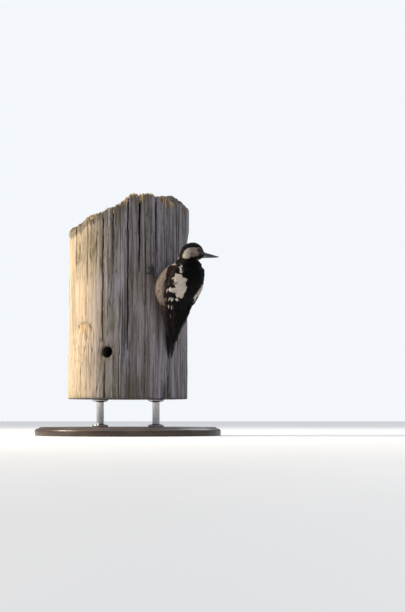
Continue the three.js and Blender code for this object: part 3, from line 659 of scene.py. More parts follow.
def use(tree, made, inputs):
    node = tree.nodes.new("ShaderNodeGroup")
    node.node_tree = made
    for key, value in inputs.items():
        if isinstance(value, bpy.types.NodeSocket):
            tree.links.new(value, node.inputs[key])
        else:
            node.inputs[key].default_value = value
    return node.outputs


def barb_group():
    """Barbs of a feather: fine lines that leave the shaft at a slant, broken here and there, and a darker shaft."""
    def fill(tree, inputs):
        u, v, chance = parts_of(tree, inputs["Vane"])
        side = math(tree, "ABSOLUTE", v)
        slant = math(tree, "MULTIPLY_ADD", u, inputs["Count"], math(tree, "MULTIPLY", side, inputs["Slant"]))
        line = math(tree, "MULTIPLY_ADD", math(tree, "SINE", math(tree, "MULTIPLY", slant, 6.2832)), 0.5, 0.5)
        place = put(tree, "CombineXYZ", {0: math(tree, "MULTIPLY", slant, 0.35), 1: math(tree, "MULTIPLY", v, 1.5), 2: math(tree, "MULTIPLY", chance, 37.0)}).outputs[0]
        rough = speckle(tree, place, 4.0, 3.0)
        shaft = span(tree, side, 0.03, 0.12, 1.0, 0.0)
        height = math(tree, "ADD", math(tree, "MULTIPLY", line, rough), math(tree, "MULTIPLY", shaft, 1.5))
        root = span(tree, u, 0.25, 0.75, 1.0, 0.0)
        return {"Height": height, "Rough": rough, "Shaft": shaft, "Root": root}
    return group("feather barbs", [("Vane", "Vector", None), ("Count", "Float", 26.0), ("Slant", "Float", 7.0)],
                 [("Height", "Float"), ("Rough", "Float"), ("Shaft", "Float"), ("Root", "Float")], fill)


def grain_group():
    """Wood grain from long thin noise: broad bands, fine fibres and short pores, in the scale of its vector."""
    def fill(tree, inputs):
        bands = speckle(tree, inputs["Vector"], 1.0, 4.0, 0.55, 0.4)
        fibres = speckle(tree, put(tree, "VectorMath", {0: inputs["Vector"], 1: (4.3, 4.3, 1.8)}, operation="MULTIPLY").outputs[0], 1.0, 5.0, 0.65)
        pores = speckle(tree, put(tree, "VectorMath", {0: inputs["Vector"], 1: (9.0, 9.0, 9.0)}, operation="MULTIPLY").outputs[0], 1.0, 2.0, 0.5)
        height = math(tree, "ADD", math(tree, "MULTIPLY", fibres, 0.7), math(tree, "MULTIPLY", bands, 0.3))
        return {"Bands": span(tree, bands, 0.3, 0.7), "Fibres": span(tree, fibres, 0.3, 0.7), "Pores": span(tree, pores, 0.6, 0.72), "Height": height}
    return group("wood grain", [("Vector", "Vector", None)], [("Bands", "Float"), ("Fibres", "Float"), ("Pores", "Float"), ("Height", "Float")], fill)


def dust_group():
    """Soft uneven dust and handling marks: a mask that is patchy at two scales."""
    def fill(tree, inputs):
        wide = speckle(tree, inputs["Vector"], 7.0, 4.0, 0.6)
        fine = speckle(tree, inputs["Vector"], 90.0, 3.0, 0.6)
        mask = math(tree, "MULTIPLY", span(tree, wide, 0.4, 0.75), math(tree, "MULTIPLY_ADD", fine, 0.8, 0.3))
        return {"Mask": math(tree, "MULTIPLY", mask, inputs["Amount"])}
    return group("dust", [("Vector", "Vector", None), ("Amount", "Float", 0.5)], [("Mask", "Float")], fill)


GROUPS = {}


def shared(name):
    """A node group by name, made on its first use."""
    makers = {"barbs": barb_group, "grain": grain_group, "dust": dust_group}
    if name not in GROUPS:
        GROUPS[name] = makers[name]()
    return GROUPS[name]


def finish_material(name, build, **constants):
    """A material whose Principled shader takes its colour, roughness and normal from build, and the rest as constants."""
    material = bpy.data.materials.new(name)
    material.use_nodes = True
    tree = material.node_tree
    shader = tree.nodes["Principled BSDF"]
    for key, value in constants.items():
        shader.inputs[key.replace("_", " ")].default_value = value
    for key, value in build(tree).items():
        tree.links.new(value, shader.inputs[key])
    return material


def bump(tree, height, distance, strength=1.0):
    return put(tree, "Bump", {"Height": height, "Distance": distance, "Strength": strength}).outputs[0]


# ------------------------------------------------------------------ materials
def plumage_material(s):
    """Contour feathers and the skin under them: black with a warm share, mixed with the marked colours."""
    def build(tree):
        marks = put(tree, "Attribute", attribute_name="marks", attribute_type="GEOMETRY")
        white, buff, red = put(tree, "SeparateColor", {0: marks.outputs["Color"]}).outputs
        vane = read(tree, "vane")
        barbs = use(tree, shared("barbs"), {"Vane": vane})
        chance = parts_of(tree, vane)[2]
        dark = blend(tree, marks.outputs["Alpha"], tuple(s.black), tuple(s.brown))
        dark = blend(tree, math(tree, "MULTIPLY", barbs["Rough"], 0.35), dark, (0.001, 0.001, 0.002))
        under = blend(tree, span(tree, chance, 0.2, 1.0, 0.0, 0.55), tuple(s.buff), tuple(s.grey))
        under = blend(tree, math(tree, "MULTIPLY", barbs["Shaft"], span(tree, chance, 0.3, 1.0, 0.0, 0.5)), under, tuple(s.brown))
        colour = blend(tree, buff, dark, under)
        colour = blend(tree, white, colour, tuple(s.white))
        colour = blend(tree, math(tree, "MULTIPLY", red, 0.75), colour, tuple(s.red))
        tone = math(tree, "MULTIPLY_ADD", barbs["Rough"], 0.45, span(tree, chance, 0.0, 1.0, 0.68, 0.86))
        # painted shade: each feather darkens to 0.6 towards its root, partly its greyer down and partly painted shade
        # under the feathers lying over it
        shade = math(tree, "MULTIPLY", tone, span(tree, barbs["Root"], 0.0, 1.0, 1.0, 0.6))
        colour = blend(tree, 1.0, colour, put(tree, "CombineColor", {0: shade, 1: shade, 2: shade}).outputs[0], "MULTIPLY")
        pale = math(tree, "MAXIMUM", white, buff)
        return {"Base Color": colour, "Roughness": span(tree, pale, 0, 1, 0.48, 0.85), "Normal": bump(tree, barbs["Height"], 0.00012, 0.6)}
    return finish_material("plumage", build, Specular_IOR_Level=0.07)


def flight_material(s):
    """Wing and tail feathers: brownish black with a dark shaft, and white spots where the bars attribute counts a row."""
    def build(tree):
        vane = read(tree, "vane")
        u, v, chance = parts_of(tree, vane)
        row, strength, _ = parts_of(tree, read(tree, "bars"))
        barbs = use(tree, shared("barbs"), {"Vane": vane, "Count": 90.0, "Slant": 9.0})
        wobble = math(tree, "MULTIPLY_ADD", barbs["Rough"], 0.12, -0.06)
        phase = math(tree, "ABSOLUTE", math(tree, "SUBTRACT", math(tree, "FRACT", math(tree, "ADD", row, wobble)), 0.5))
        outer = math(tree, "MULTIPLY", span(tree, v, -0.28, -0.16, 1.0, 0.0), span(tree, v, -1.0, -0.93))
        spot = math(tree, "MULTIPLY", span(tree, phase, 0.17, 0.25, 1.0, 0.0), outer)
        spot = math(tree, "MULTIPLY", spot, strength)
        dark = blend(tree, span(tree, v, -1.0, 0.1, 0.75, 0.15), tuple(s.black), tuple(s.brown))
        dark = blend(tree, math(tree, "MULTIPLY", barbs["Rough"], 0.5), dark, (0.002, 0.002, 0.003))
        colour = blend(tree, spot, dark, tuple(s.white))
        colour = blend(tree, math(tree, "MULTIPLY", barbs["Shaft"], 0.6), colour, (0.012, 0.009, 0.008))
        return {"Base Color": colour, "Roughness": span(tree, spot, 0, 1, 0.42, 0.8), "Normal": bump(tree, barbs["Height"], 0.0001, 0.8)}
    return finish_material("flight feathers", build, Specular_IOR_Level=0.08)


def bill_material(s):
    """Slate horn: fine lengthwise streaks, paler towards the root of the lower half and rubbed at the tip."""
    def build(tree):
        u, lower, _ = parts_of(tree, read(tree, "horn"))
        along = put(tree, "Mapping", {"Vector": put(tree, "TexCoord").outputs["Object"], "Rotation": (0, np.radians(HEAD_DIP), -np.radians(HEAD_FACING)), "Scale": (60, 900, 900)}, vector_type="TEXTURE")
        along.vector_type = "POINT"
        streaks = speckle(tree, along.outputs[0], 1.0, 3.0)
        pale = math(tree, "MULTIPLY", lower, span(tree, u, 0.0, 0.45, 0.75, 0.0))
        colour = blend(tree, span(tree, streaks, 0.3, 0.7), tuple(s.horn), tuple(v * 1.9 for v in s.horn))
        colour = blend(tree, pale, colour, (0.12, 0.115, 0.12))
        colour = blend(tree, span(tree, u, 0.86, 1.0, 0.0, 0.5), colour, (0.09, 0.08, 0.075))
        return {"Base Color": colour, "Roughness": span(tree, streaks, 0.3, 0.7, 0.32, 0.5), "Normal": bump(tree, streaks, 0.00005, 0.7)}
    return finish_material("bill horn", build, Coat_Weight=0.15)


def claw_material(s):
    """Claw horn: dark, a little paler and thinner-looking to the point."""
    def build(tree):
        u = parts_of(tree, read(tree, "horn"))[0]
        streaks = speckle(tree, stretched(tree, (700, 700, 200)), 1.0, 3.0)
        colour = blend(tree, span(tree, u, 0.3, 1.0), tuple(s.horn), (0.075, 0.065, 0.055))
        colour = blend(tree, span(tree, streaks, 0.45, 0.75, 0.0, 0.5), colour, (0.01, 0.009, 0.009))
        return {"Base Color": colour, "Roughness": span(tree, streaks, 0.2, 0.8, 0.3, 0.5), "Normal": bump(tree, streaks, 0.00004, 0.6)}
    return finish_material("claw horn", build)


def bare_skin(name, tint):
    """Bare skin with plates or folds: the tint, dirtier in the joints between them."""
    def build(tree):
        _, ring, _ = parts_of(tree, read(tree, "scale"))
        dirt = speckle(tree, stretched(tree, (420, 420, 420)), 1.0, 4.0)
        fold = span(tree, ring, 0.0, 0.35, 1.0, 0.0)
        colour = blend(tree, span(tree, dirt, 0.35, 0.7), tuple(tint), tuple(v * 0.5 for v in tint))
        colour = blend(tree, math(tree, "MULTIPLY", fold, 0.6), colour, tuple(v * 0.6 for v in tint))
        return {"Base Color": colour, "Roughness": span(tree, dirt, 0.3, 0.7, 0.5, 0.75), "Normal": bump(tree, math(tree, "SUBTRACT", dirt, fold), 0.00008, 0.6)}
    return finish_material(name, build)


def leg_material(s):
    """The plated skin of the legs and toes."""
    return bare_skin("leg skin", s.leg)


def lid_material(s):
    """The folded skin of the eyelids."""
    return bare_skin("eyelid skin", s.lid)


def eye_material(s):
    """An eye: black pupil, dark red-brown iris with fine rays, dark rim, under a wet clear coat."""
    def build(tree):
        off, turn, _ = parts_of(tree, read(tree, "iris"))
        ray = speckle(tree, put(tree, "CombineXYZ", {0: math(tree, "MULTIPLY", turn, 9.0), 1: math(tree, "MULTIPLY", off, 1.2)}).outputs[0], 3.0, 3.0)
        iris = blend(tree, span(tree, ray, 0.3, 0.7), tuple(s.iris), tuple(v * 0.35 for v in s.iris))
        iris = blend(tree, span(tree, off, 0.75, 0.98), iris, (0.006, 0.004, 0.004))
        colour = blend(tree, span(tree, off, 0.4, 0.46), (0.001, 0.001, 0.001), iris)
        return {"Base Color": colour, "Roughness": span(tree, off, 0.9, 1.1, 0.08, 0.3)}
    return finish_material("eye", build, Specular_IOR_Level=0.2, Coat_Weight=1.0, Coat_Roughness=0.02, Coat_IOR=1.38)


def pole_material(s):
    """Weathered pole wood: silver grey with dark and warm fibres, bleached on one side, black in the cracks, tan where
    it is freshly broken. The wear attribute holds shares of crack, broken wood, stain and bleaching."""
    def build(tree):
        wear = put(tree, "Attribute", attribute_name="wear", attribute_type="GEOMETRY")
        # the first share is painted shade, near black in cracks and hollows; the last is bleaching with painted
        # sunlight
        crack, broken, stain = put(tree, "SeparateColor", {0: wear.outputs["Color"]}).outputs
        bleached_and_sunlit = wear.outputs["Alpha"]
        grain = use(tree, shared("grain"), {"Vector": stretched(tree, (240, 240, 8))})
        broad = use(tree, shared("grain"), {"Vector": stretched(tree, (60, 60, 2.6))})
        specks = speckle(tree, stretched(tree, (330, 330, 60)), 1.0, 3.0)
        streaks = math(tree, "MULTIPLY_ADD", grain["Fibres"], 0.45, math(tree, "MULTIPLY", grain["Bands"], 0.55))
        colour = blend(tree, span(tree, streaks, 0.2, 0.76), tuple(s.dark_fibre), tuple(s.silver))
        colour = blend(tree, math(tree, "MULTIPLY", broad["Bands"], 0.45), colour, tuple(s.warm))
        # paler and warmer on one side: partly sun bleaching, partly painted sunlight where the key light falls
        bleach_and_sunlight = math(tree, "MULTIPLY", bleached_and_sunlit, span(tree, grain["Fibres"], 0.0, 0.7, 0.45, 0.85))
        colour = blend(tree, bleach_and_sunlight, colour, tuple(s.bleached_and_sunlit))
        colour = blend(tree, math(tree, "MULTIPLY", grain["Pores"], 0.55), colour, tuple(s.dark_fibre))
        colour = blend(tree, span(tree, specks, 0.6, 0.75, 0.0, 0.35), colour, (0.05, 0.045, 0.045))
        x, y, _ = parts_of(tree, put(tree, "TexCoord").outputs["Object"])
        out = math(tree, "SQRT", math(tree, "ADD", math(tree, "MULTIPLY", x, x), math(tree, "MULTIPLY", y, y)))
        uneven = speckle(tree, stretched(tree, (28, 28, 0)), 1.0, 3.0)
        rings = math(tree, "SINE", math(tree, "MULTIPLY_ADD", out, 2600.0, math(tree, "MULTIPLY", uneven, 34.0)))
        dirt = speckle(tree, stretched(tree, (500, 500, 90)), 1.0, 4.0)
        sawn = blend(tree, span(tree, rings, -0.9, 0.9), (0.08, 0.067, 0.055), (0.17, 0.145, 0.115))
        sawn = blend(tree, span(tree, dirt, 0.4, 0.65, 0.0, 0.7), sawn, (0.045, 0.04, 0.036))
        colour = blend(tree, read(tree, "cut_end", "Fac"), colour, sawn)
        colour = blend(tree, math(tree, "MULTIPLY", stain, span(tree, specks, 0.3, 0.6, 0.3, 0.8)), colour, (0.075, 0.068, 0.03))
        colour = blend(tree, math(tree, "MULTIPLY", broken, span(tree, grain["Fibres"], 0.0, 1.0, 0.5, 1.0)), colour, tuple(s.broken))
        # painted shade: near black in the cracks, the bolt hole and the scar's cut
        colour = blend(tree, crack, colour, (0.006, 0.005, 0.005))
        height = math(tree, "ADD", grain["Height"], math(tree, "MULTIPLY", broad["Height"], 0.6))
        return {"Base Color": colour, "Roughness": span(tree, grain["Bands"], 0, 1, 0.78, 0.95), "Normal": bump(tree, height, 0.0006, 0.7)}
    return finish_material("pole wood", build, Specular_IOR_Level=0.25)


def base_material(s):
    """Stained and waxed stand wood with a long grain across it, and a little dust."""
    def build(tree):
        place = stretched(tree, (9, 90, 90))
        grain = use(tree, shared("grain"), {"Vector": place})
        dust = use(tree, shared("dust"), {"Vector": put(tree, "TexCoord").outputs["Object"], "Amount": 0.25})
        colour = blend(tree, grain["Bands"], tuple(s.stand_wood), tuple(v * 0.45 for v in s.stand_wood))
        colour = blend(tree, math(tree, "MULTIPLY", grain["Fibres"], 0.35), colour, tuple(v * 0.3 for v in s.stand_wood))
        colour = blend(tree, dust["Mask"], colour, (0.3, 0.28, 0.25))
        return {"Base Color": colour, "Roughness": span(tree, grain["Fibres"], 0, 1, 0.3, 0.42), "Normal": bump(tree, grain["Height"], 0.0001, 0.4)}
    return finish_material("stand wood", build, Coat_Weight=0.12, Coat_Roughness=0.25)


def rod_material(s):
    """Brushed steel: fine rings of scratches round the rod, duller in patches."""
    def build(tree):
        lines = speckle(tree, stretched(tree, (60, 60, 2600)), 1.0, 3.0)
        dust = use(tree, shared("dust"), {"Vector": put(tree, "TexCoord").outputs["Object"], "Amount": 0.5})
        colour = blend(tree, lines, tuple(s.steel), tuple(v * 0.8 for v in s.steel))
        colour = blend(tree, dust["Mask"], colour, (0.2, 0.19, 0.18))
        rough = math(tree, "ADD", span(tree, lines, 0.2, 0.8, 0.24, 0.4), math(tree, "MULTIPLY", dust["Mask"], 0.3))
        return {"Base Color": colour, "Roughness": rough, "Normal": bump(tree, lines, 0.00002, 0.5)}
    return finish_material("brushed steel", build, Metallic=1.0)


def floor_material(s):
    """A plain pale studio floor with the faintest unevenness."""
    def build(tree):
        cloud = speckle(tree, stretched(tree, (3, 3, 3)), 1.0, 4.0)
        return {"Base Color": blend(tree, cloud, tuple(s.floor), tuple(v * 0.97 for v in s.floor)), "Roughness": span(tree, cloud, 0.3, 0.7, 0.6, 0.75)}
    return finish_material("studio floor", build)


MAKERS = {
    "plumage": plumage_material, "flight": flight_material, "bill": bill_material, "claw": claw_material,
    "leg": leg_material, "lid": lid_material, "eye": eye_material, "pole": pole_material, "base": base_material, "rod": rod_material,
    "floor": floor_material,
}
MATERIALS = {}


def material(name):
    """A material by its short name, made on its first use from the scene's colours."""
    if name not in MATERIALS:
        MATERIALS[name] = MAKERS[name](bpy.context.scene.woodpecker_finish)
    return MATERIALS[name]


# ------------------------------------------------------------------ skin
def thigh_surface(foot):
    """The feathered thigh as a surface: t runs from 0 at the heel to 1 at its root in the flank."""
    bearing, off, z = foot["heel"]
    heel = round_pole(bearing, POLE_RADIUS + off, z)
    root = round_pole(bearing - foot["outward"] * 7.5, POLE_RADIUS + 23, z - 13)
    ahead = unit(root - heel)
    away = unit(np.cross(np.cross(ahead, round_pole(bearing, 1.0, 0.0)), ahead))
    side = np.cross(ahead, away)
    middle = round_pole(bearing, 1.5, 0.0)

    def surface(t, angle, lift=0.0):
        t, angle, lift = np.broadcast_arrays(*(np.asarray(v, float) for v in (t, angle, lift)))
        radius = (2.8 + 6.7 * ease(t)) * np.sqrt(np.clip((1.04 - t) / 0.3, 0.0, 1.0)) + lift
        turn = np.radians(angle)[..., None]
        centre = heel + (root - heel) * t[..., None] + middle * (4 * t * (1 - t))[..., None]
        return centre + radius[..., None] * (away * np.cos(turn) + side * np.sin(turn))
    return surface


def coat_depth(t, angle):
    """How far the skin lies under the tips of the coat: deep on the body, shallow on the face."""
    return np.interp(t, (-0.5, 0.5, 2, 7.5, 9.5, 11, 14.5, 16), (0.7, 1.0, 2.0, 2.4, 1.6, 1.0, 0.7, 0.3)) + 0 * angle


def skin_rings():
    """The whole skin as rings of the body's surface under the coat. Round each eye it falls back to make room for
    the ball and the lids."""
    t = np.concatenate((np.linspace(TAIL_END, 9.4, 84, endpoint=False), np.linspace(9.4, BILL_END, 110)))[:, None]
    angle = np.linspace(-180, 180, 240, endpoint=False)[None, :]
    turned = smooth(STATIONS[:, 3], np.minimum(t, 11)) - STATIONS[0, 3]
    angle = angle + turned
    base = body_point(t, angle, -coat_depth(t, angle))
    near = ease((t - 11.6) / 0.4) * (off_midline(angle) > 30) * (off_midline(angle) < 130)
    socket = 3.4 * (1 - ease((from_eye(base) - 2.6) / 0.8))
    return t, angle, body_point(t, angle, -coat_depth(t, angle) - near * socket)


def build_skin():
    """One closed skin: the body's rings, joined with both thighs."""
    t, angle, rings = skin_rings()
    points, polygons = tube(rings)
    flat_t = np.append(np.broadcast_to(t, rings.shape[:2]).ravel(), (TAIL_END, BILL_END))
    flat_angle = np.append(angle.ravel(), (0.0, 0.0))
    shares = markings(flat_t, flat_angle, points)
    # the skin reads as a feather's root, so the plumage material gives it the same 0.6 painted root shade
    floats = {"marks": shares, "vane": np.tile((0.1, 0.5, 0.5), (len(points), 1))}
    nodes = ("head", "neck", "trunk", "thigh_left", "thigh_right")
    skin = new_piece("skin", points, polygons, material("plumage"), "plumage", floats, stand_for=nodes)
    for side, foot in FEET.items():
        surface = thigh_surface(foot)
        s, turn = np.meshgrid(np.linspace(0.02, 1.0, 20), np.linspace(0, 360, 28, endpoint=False), indexing="ij")
        thigh = new_piece("thigh_cutter_" + side, *tube(surface(s, turn, -1.0)), material("plumage"))
        union = skin.modifiers.new("thigh " + side, "BOOLEAN")
        union.operation, union.solver, union.object = "UNION", "EXACT", thigh
        apply_modifiers(skin)
        bpy.data.objects.remove(thigh)
    fill_new_points(skin)


def apply_modifiers(piece):
    """Puts a piece's modifiers into its mesh."""
    evaluated = piece.evaluated_get(bpy.context.evaluated_depsgraph_get())
    mesh = bpy.data.meshes.new_from_object(evaluated)
    piece.modifiers.clear()
    old, piece.data = piece.data, mesh
    bpy.data.meshes.remove(old)


def fill_new_points(skin):
    """Gives the points that joining the thighs made the colours of a buff underside."""
    marks = skin.data.attributes["marks"].data
    values = np.zeros(4 * len(marks), np.float32)
    marks.foreach_get("color", values)
    values = values.reshape(-1, 4)
    values[values.sum(1) == 0] = (0, 1, 0, 0)
    marks.foreach_set("color", values.ravel())


# ------------------------------------------------------------------ the coat
def wing_cover(t, angle):
    """Height to which the back and shoulder feathers fill the wings' bed, and then climb over the wings."""
    off = off_midline(angle)
    filled = smooth(STATIONS[:, 8], np.clip(t, 0, 16)) * ease((off - 14) / 26) * ease((98 - off) / 22)
    edge = smooth(WING_UPPER, np.clip(t, 0, 8))
    return np.maximum(0.86 * filled, 3.4 * ease((off - edge + 6) / 9) * band(t, 1.6, 8.2, 0.9))


def under_wing(t, angle):
    """Whether a place is hidden under the folded wing."""
    off = off_midline(angle)
    inner, outer = smooth(WING_UPPER, np.clip(t, 0, 8)), smooth(WING_LOWER, np.clip(t, 0, 8))
    return (off > inner + 13) & (off < outer - 6) & (t > 1.2) & (t < 7.2)


def build_head_coat():
    """The crown, the face and the bristles over the nostrils."""
    rng = np.random.default_rng(11)

    def clear(t, angle, p):
        return (from_eye(p) > 3.9) | (off_midline(angle) > 130) | (off_midline(angle) < 35)

    def open_eye(places, length):
        """Leaves out feathers that would lie across an eye."""
        t, angle = places
        per_t, _ = metric(body_point, t, angle)
        clear_way = np.ones(len(t), bool)
        for share in (0.0, 0.35, 0.7, 1.0):
            at = t - share * length(t) / per_t
            clear_way &= clear(at, angle, body_point(at, angle))
        return t[clear_way], angle[clear_way]

    def length(t):
        return np.interp(t, (9.4, 11, 13, 14.5, 16), (5.0, 3.6, 2.6, 1.9, 1.4))

    def spacing(t):
        return np.interp(t, (9.4, 11, 13, 16), (1.05, 0.8, 0.66, 0.56))

    for name, angles in (("crown", ((-62, 62),)), ("cheeks", ((62, 180), (-180, -62)))):
        parts = []
        for pair in angles:
            t, angle = open_eye(rows_over(body_point, (9.5, 15.75), pair, spacing, rng), length)
            size = length(t) * rng.uniform(0.85, 1.2, len(t))
            width = size * np.interp(t, (9.4, 13, 16), (0.42, 0.34, 0.32))
            high = np.interp(t, (9.5, 12, 16), (0.45, 0.3, 0.1)) + rng.normal(0, 0.1, len(t))
            parts.append(lay(body_point, TUFT, t, angle, size, width, rng, turn=rng.normal(0, 7, len(t)),
                             low=-0.8 * coat_depth(t, angle), high=high, thick=0.06, arch=0.12))
        coat_piece("coat_" + name, parts, material("plumage"))
    build_eye_rims(rng)
    build_bristles(rng)


def lid_opening(turn):
    """Radius of the opening between the lids at an angle round the eye: an almond, 5.5 mm long and 4.6 mm high."""
    return ((np.abs(np.cos(turn)) / 2.75) ** 1.8 + (np.abs(np.sin(turn)) / 2.3) ** 1.8) ** (-1 / 1.8)


def lid_place(side, step, turn, rise):
    """A place on an eye's lids, a step out from their opening: on the ball at first, then easing into the side of
    the head."""
    away = lid_opening(turn) + step
    x, z = EYE["x"] + away * np.cos(turn), EYE["z"] + away * np.sin(turn)
    on_ball = EYE["set"] + np.sqrt(EYE["radius"] ** 2 - np.minimum(away, 2.95) ** 2)
    share = ease((step - 0.5) / 1.3)
    out = on_ball * (1 - share) + (side_height(x, z) - 0.55) * share + rise
    return head_place(x, side * out, z)


def eye_patch(side):
    """The skin round an eye as a surface of its own: t is the distance out from the lids' opening in millimetres,
    and the angle runs round it. It climbs to the feathers outside."""
    def surface(t, angle, lift=0.0):
        t, angle, lift = np.broadcast_arrays(*(np.asarray(v, float) for v in (t, angle, lift)))
        return lid_place(side, t, np.radians(angle), lift + 0.4 * ease((t - 1.0) / 1.2))
    return surface


def side_height(x, z):
    """How far out the head's side stands at x and z in its frame, from the nearest of a grid of its points."""
    t, angle = np.meshgrid(np.linspace(11.5, 15.5, 120), np.linspace(40, 130, 120), indexing="ij")
    grid = in_head(body_point(t, angle)).reshape(-1, 3)
    flat = np.column_stack((np.ravel(x), np.ravel(z)))
    nearest = np.empty(len(flat))
    for start in range(0, len(flat), 512):
        chunk = flat[start:start + 512]
        d = (chunk[:, None, 0] - grid[None, :, 0]) ** 2 + (chunk[:, None, 1] - grid[None, :, 2]) ** 2
        best = np.argpartition(d, 6, axis=1)[:, :6]
        weight = 1 / (np.take_along_axis(d, best, 1) + 0.02)
        nearest[start:start + 512] = (grid[best, 1] * weight).sum(1) / weight.sum(1)
    return nearest.reshape(np.shape(x))


def build_eye_rims(rng):
    """A close ring of tiny feathers round each eye, pointing away from it and back."""
    parts = []
    for side in (1, -1):
        surface = eye_patch(side)
        for ring, count in ((0.8, 58), (1.15, 60), (1.55, 64), (2.0, 68), (2.5, 72)):
            angle = np.linspace(0, 360, count, endpoint=False) + rng.uniform(-3, 3, count)
            back = 55 * np.sin(np.radians(angle)) * np.where(np.cos(np.radians(angle)) > 0, 1.0, 0.35)
            t = np.full(count, ring)
            tiny = rng.uniform(0.8, 1.1, count)
            parts.append(lay(surface, TUFT, t, angle, -tiny, 0.45 * tiny, rng, turn=-back, low=-0.3, high=0.22,
                             thick=0.05, arch=0.05, marks=lambda t, a, p: markings(np.full(np.shape(a), 13.4), side * 80.0 + 0 * a, p),
                             unwrap=(angle + 400 * (side > 0), t)))
    coat_piece("coat_eye_rims", parts, material("plumage"))


def bill_sleeve(t, angle, lift=0.0):
    """The head's front and the bill's root as one tube along the bill: t counts millimetres forward from x = 12,
    and the angle runs from the top of the bill."""
    t, angle, lift = np.broadcast_arrays(*(np.asarray(v, float) for v in (t, angle, lift)))
    x = 12.0 + t
    half = np.interp(x, (12, 14, 16, 17.6, 19, 24), (10.4, 8.9, 6.9, 5.3, 4.3, 3.5)) + lift
    high = np.interp(x, (12, 14, 16, 17.6, 19, 24), (9.2, 7.7, 6.2, 5.2, 4.6, 3.7)) + lift
    turn = np.radians(angle)
    return head_place(x, half * np.sin(turn), -4.9 + high * np.cos(turn))


def sleeve_marks(t, angle, points):
    """Bristles are black above, dull brown at the sides and buff under the chin."""
    off = off_midline(angle)
    buff = 0.22 * band(off, 60, 105, 20) + 0.6 * ease((off - 135) / 15)
    return np.stack(np.broadcast_arrays(0 * buff, buff, 0 * buff, ease((off - 40) / 30)), -1)


def build_bristles(rng):
    """Stiff bristles that lie forward over the nostrils and the gape from the forehead, lores and chin."""
    n = 620
    t = 1.5 + 4.2 * rng.random(n) ** 0.8
    angle = rng.uniform(-180, 180, n)
    size = rng.uniform(1.6, 3.0, n) * np.where(off_midline(angle) > 120, 0.8, 1.0)
    parts = lay(bill_sleeve, TUFT, t, angle, -size, 0.34, rng, turn=rng.normal(0, 9, n), low=-0.5,
                high=rng.uniform(0.0, 0.35, n), thick=0.06, arch=0.05, marks=sleeve_marks)
    coat_piece("coat_bristles", [parts], material("plumage"))


def build_neck_coat():
    """The nape, neck sides and throat, down onto the shoulders."""
    rng = np.random.default_rng(12)
    parts = []
    t, angle = rows_over(body_point, (7.55, 9.75), (-180, 180), lambda t: np.interp(t, (7.5, 9.8), (1.75, 1.15)), rng)
    size = np.interp(t, (7.5, 9.8), (9.5, 5.0)) * rng.uniform(0.85, 1.15, len(t))
    width = size * np.interp(t, (7.5, 9.8), (0.46, 0.4))
    high = 0.5 + rng.normal(0, 0.25, len(t))
    parts.append(lay(body_point, VANE, t, angle, size, width, rng, turn=rng.normal(0, 6, len(t)), low=-1.5, high=high, thick=0.1, arch=0.25))
    coat_piece("coat_neck", parts, material("plumage"))


def build_back_coat():
    """The mantle down the middle of the back, the shoulder feathers over each wing's root, and the rump."""
    rng = np.random.default_rng(13)
    t, angle = rows_over(body_point, (2.6, 8.1), (-42, 42), 1.9, rng)
    keep = np.abs(angle) < np.interp(t, (2.6, 3.2, 4.0, 4.7, 8.1), (27, 30, 42, 33, 30))
    t, angle = t[keep], angle[keep]
    size = 12.5 * rng.uniform(0.85, 1.15, len(t))
    mantle = lay(body_point, VANE, t, angle, size, 0.48 * size, rng, turn=rng.normal(0, 5, len(t)), low=-1.8,
                 high=0.5 + rng.normal(0, 0.2, len(t)), bed=wing_cover)
    coat_piece("coat_mantle", [mantle], material("plumage"))
    parts = []
    for side in (1, -1):
        t, angle = rows_over(body_point, (4.35, 8.0), (18, 66), 1.8, rng)
        keep = angle < np.interp(t, (4.3, 5, 6, 8), (52, 60, 64, 60))
        t, angle = t[keep], side * angle[keep]
        size = np.interp(t, (4.6, 8), (14.5, 10)) * rng.uniform(0.85, 1.15, len(t))
        parts.append(lay(body_point, VANE, t, angle, size, 0.5 * size, rng, turn=side * rng.normal(-4, 6, len(t)), low=-0.9,
                         high=0.9 + rng.normal(0, 0.25, len(t)), bed=wing_cover))
    coat_piece("coat_scapulars", parts, material("plumage"))
    t, angle = rows_over(body_point, (0.35, 3.2), (-95, 95), 1.8, rng)
    keep = ~under_wing(t, angle) & (t > 0.4 + 1.3 * (np.abs(angle) / 95) ** 1.5)
    t, angle = t[keep], angle[keep]
    size = np.interp(t, (0.4, 3.2), (15, 11)) * rng.uniform(0.8, 1.15, len(t))
    inward = -16 * ease((2.2 - t) / 1.8) * angle / 90
    rump = lay(body_point, VANE, t, angle, size, np.interp(t, (0.4, 2), (0.3, 0.42)) * size, rng,
               turn=inward + rng.normal(0, 5, len(t)), low=-1.0,
               high=np.interp(t, (0.4, 2), (-0.15, 0.35)) + rng.normal(0, 0.15, len(t)), bed=wing_cover)
    coat_piece("coat_rump", [rump], material("plumage"))


def flank_bed(t, angle):
    """Flank feathers puff out along the wing's lower edge and lie over it a little."""
    off = off_midline(angle)
    edge = smooth(WING_LOWER, np.clip(t, 0, 8))
    return 2.4 * np.exp(-((off - edge - 6) / 11) ** 2) * band(t, 3.3, 7.6, 1.6)


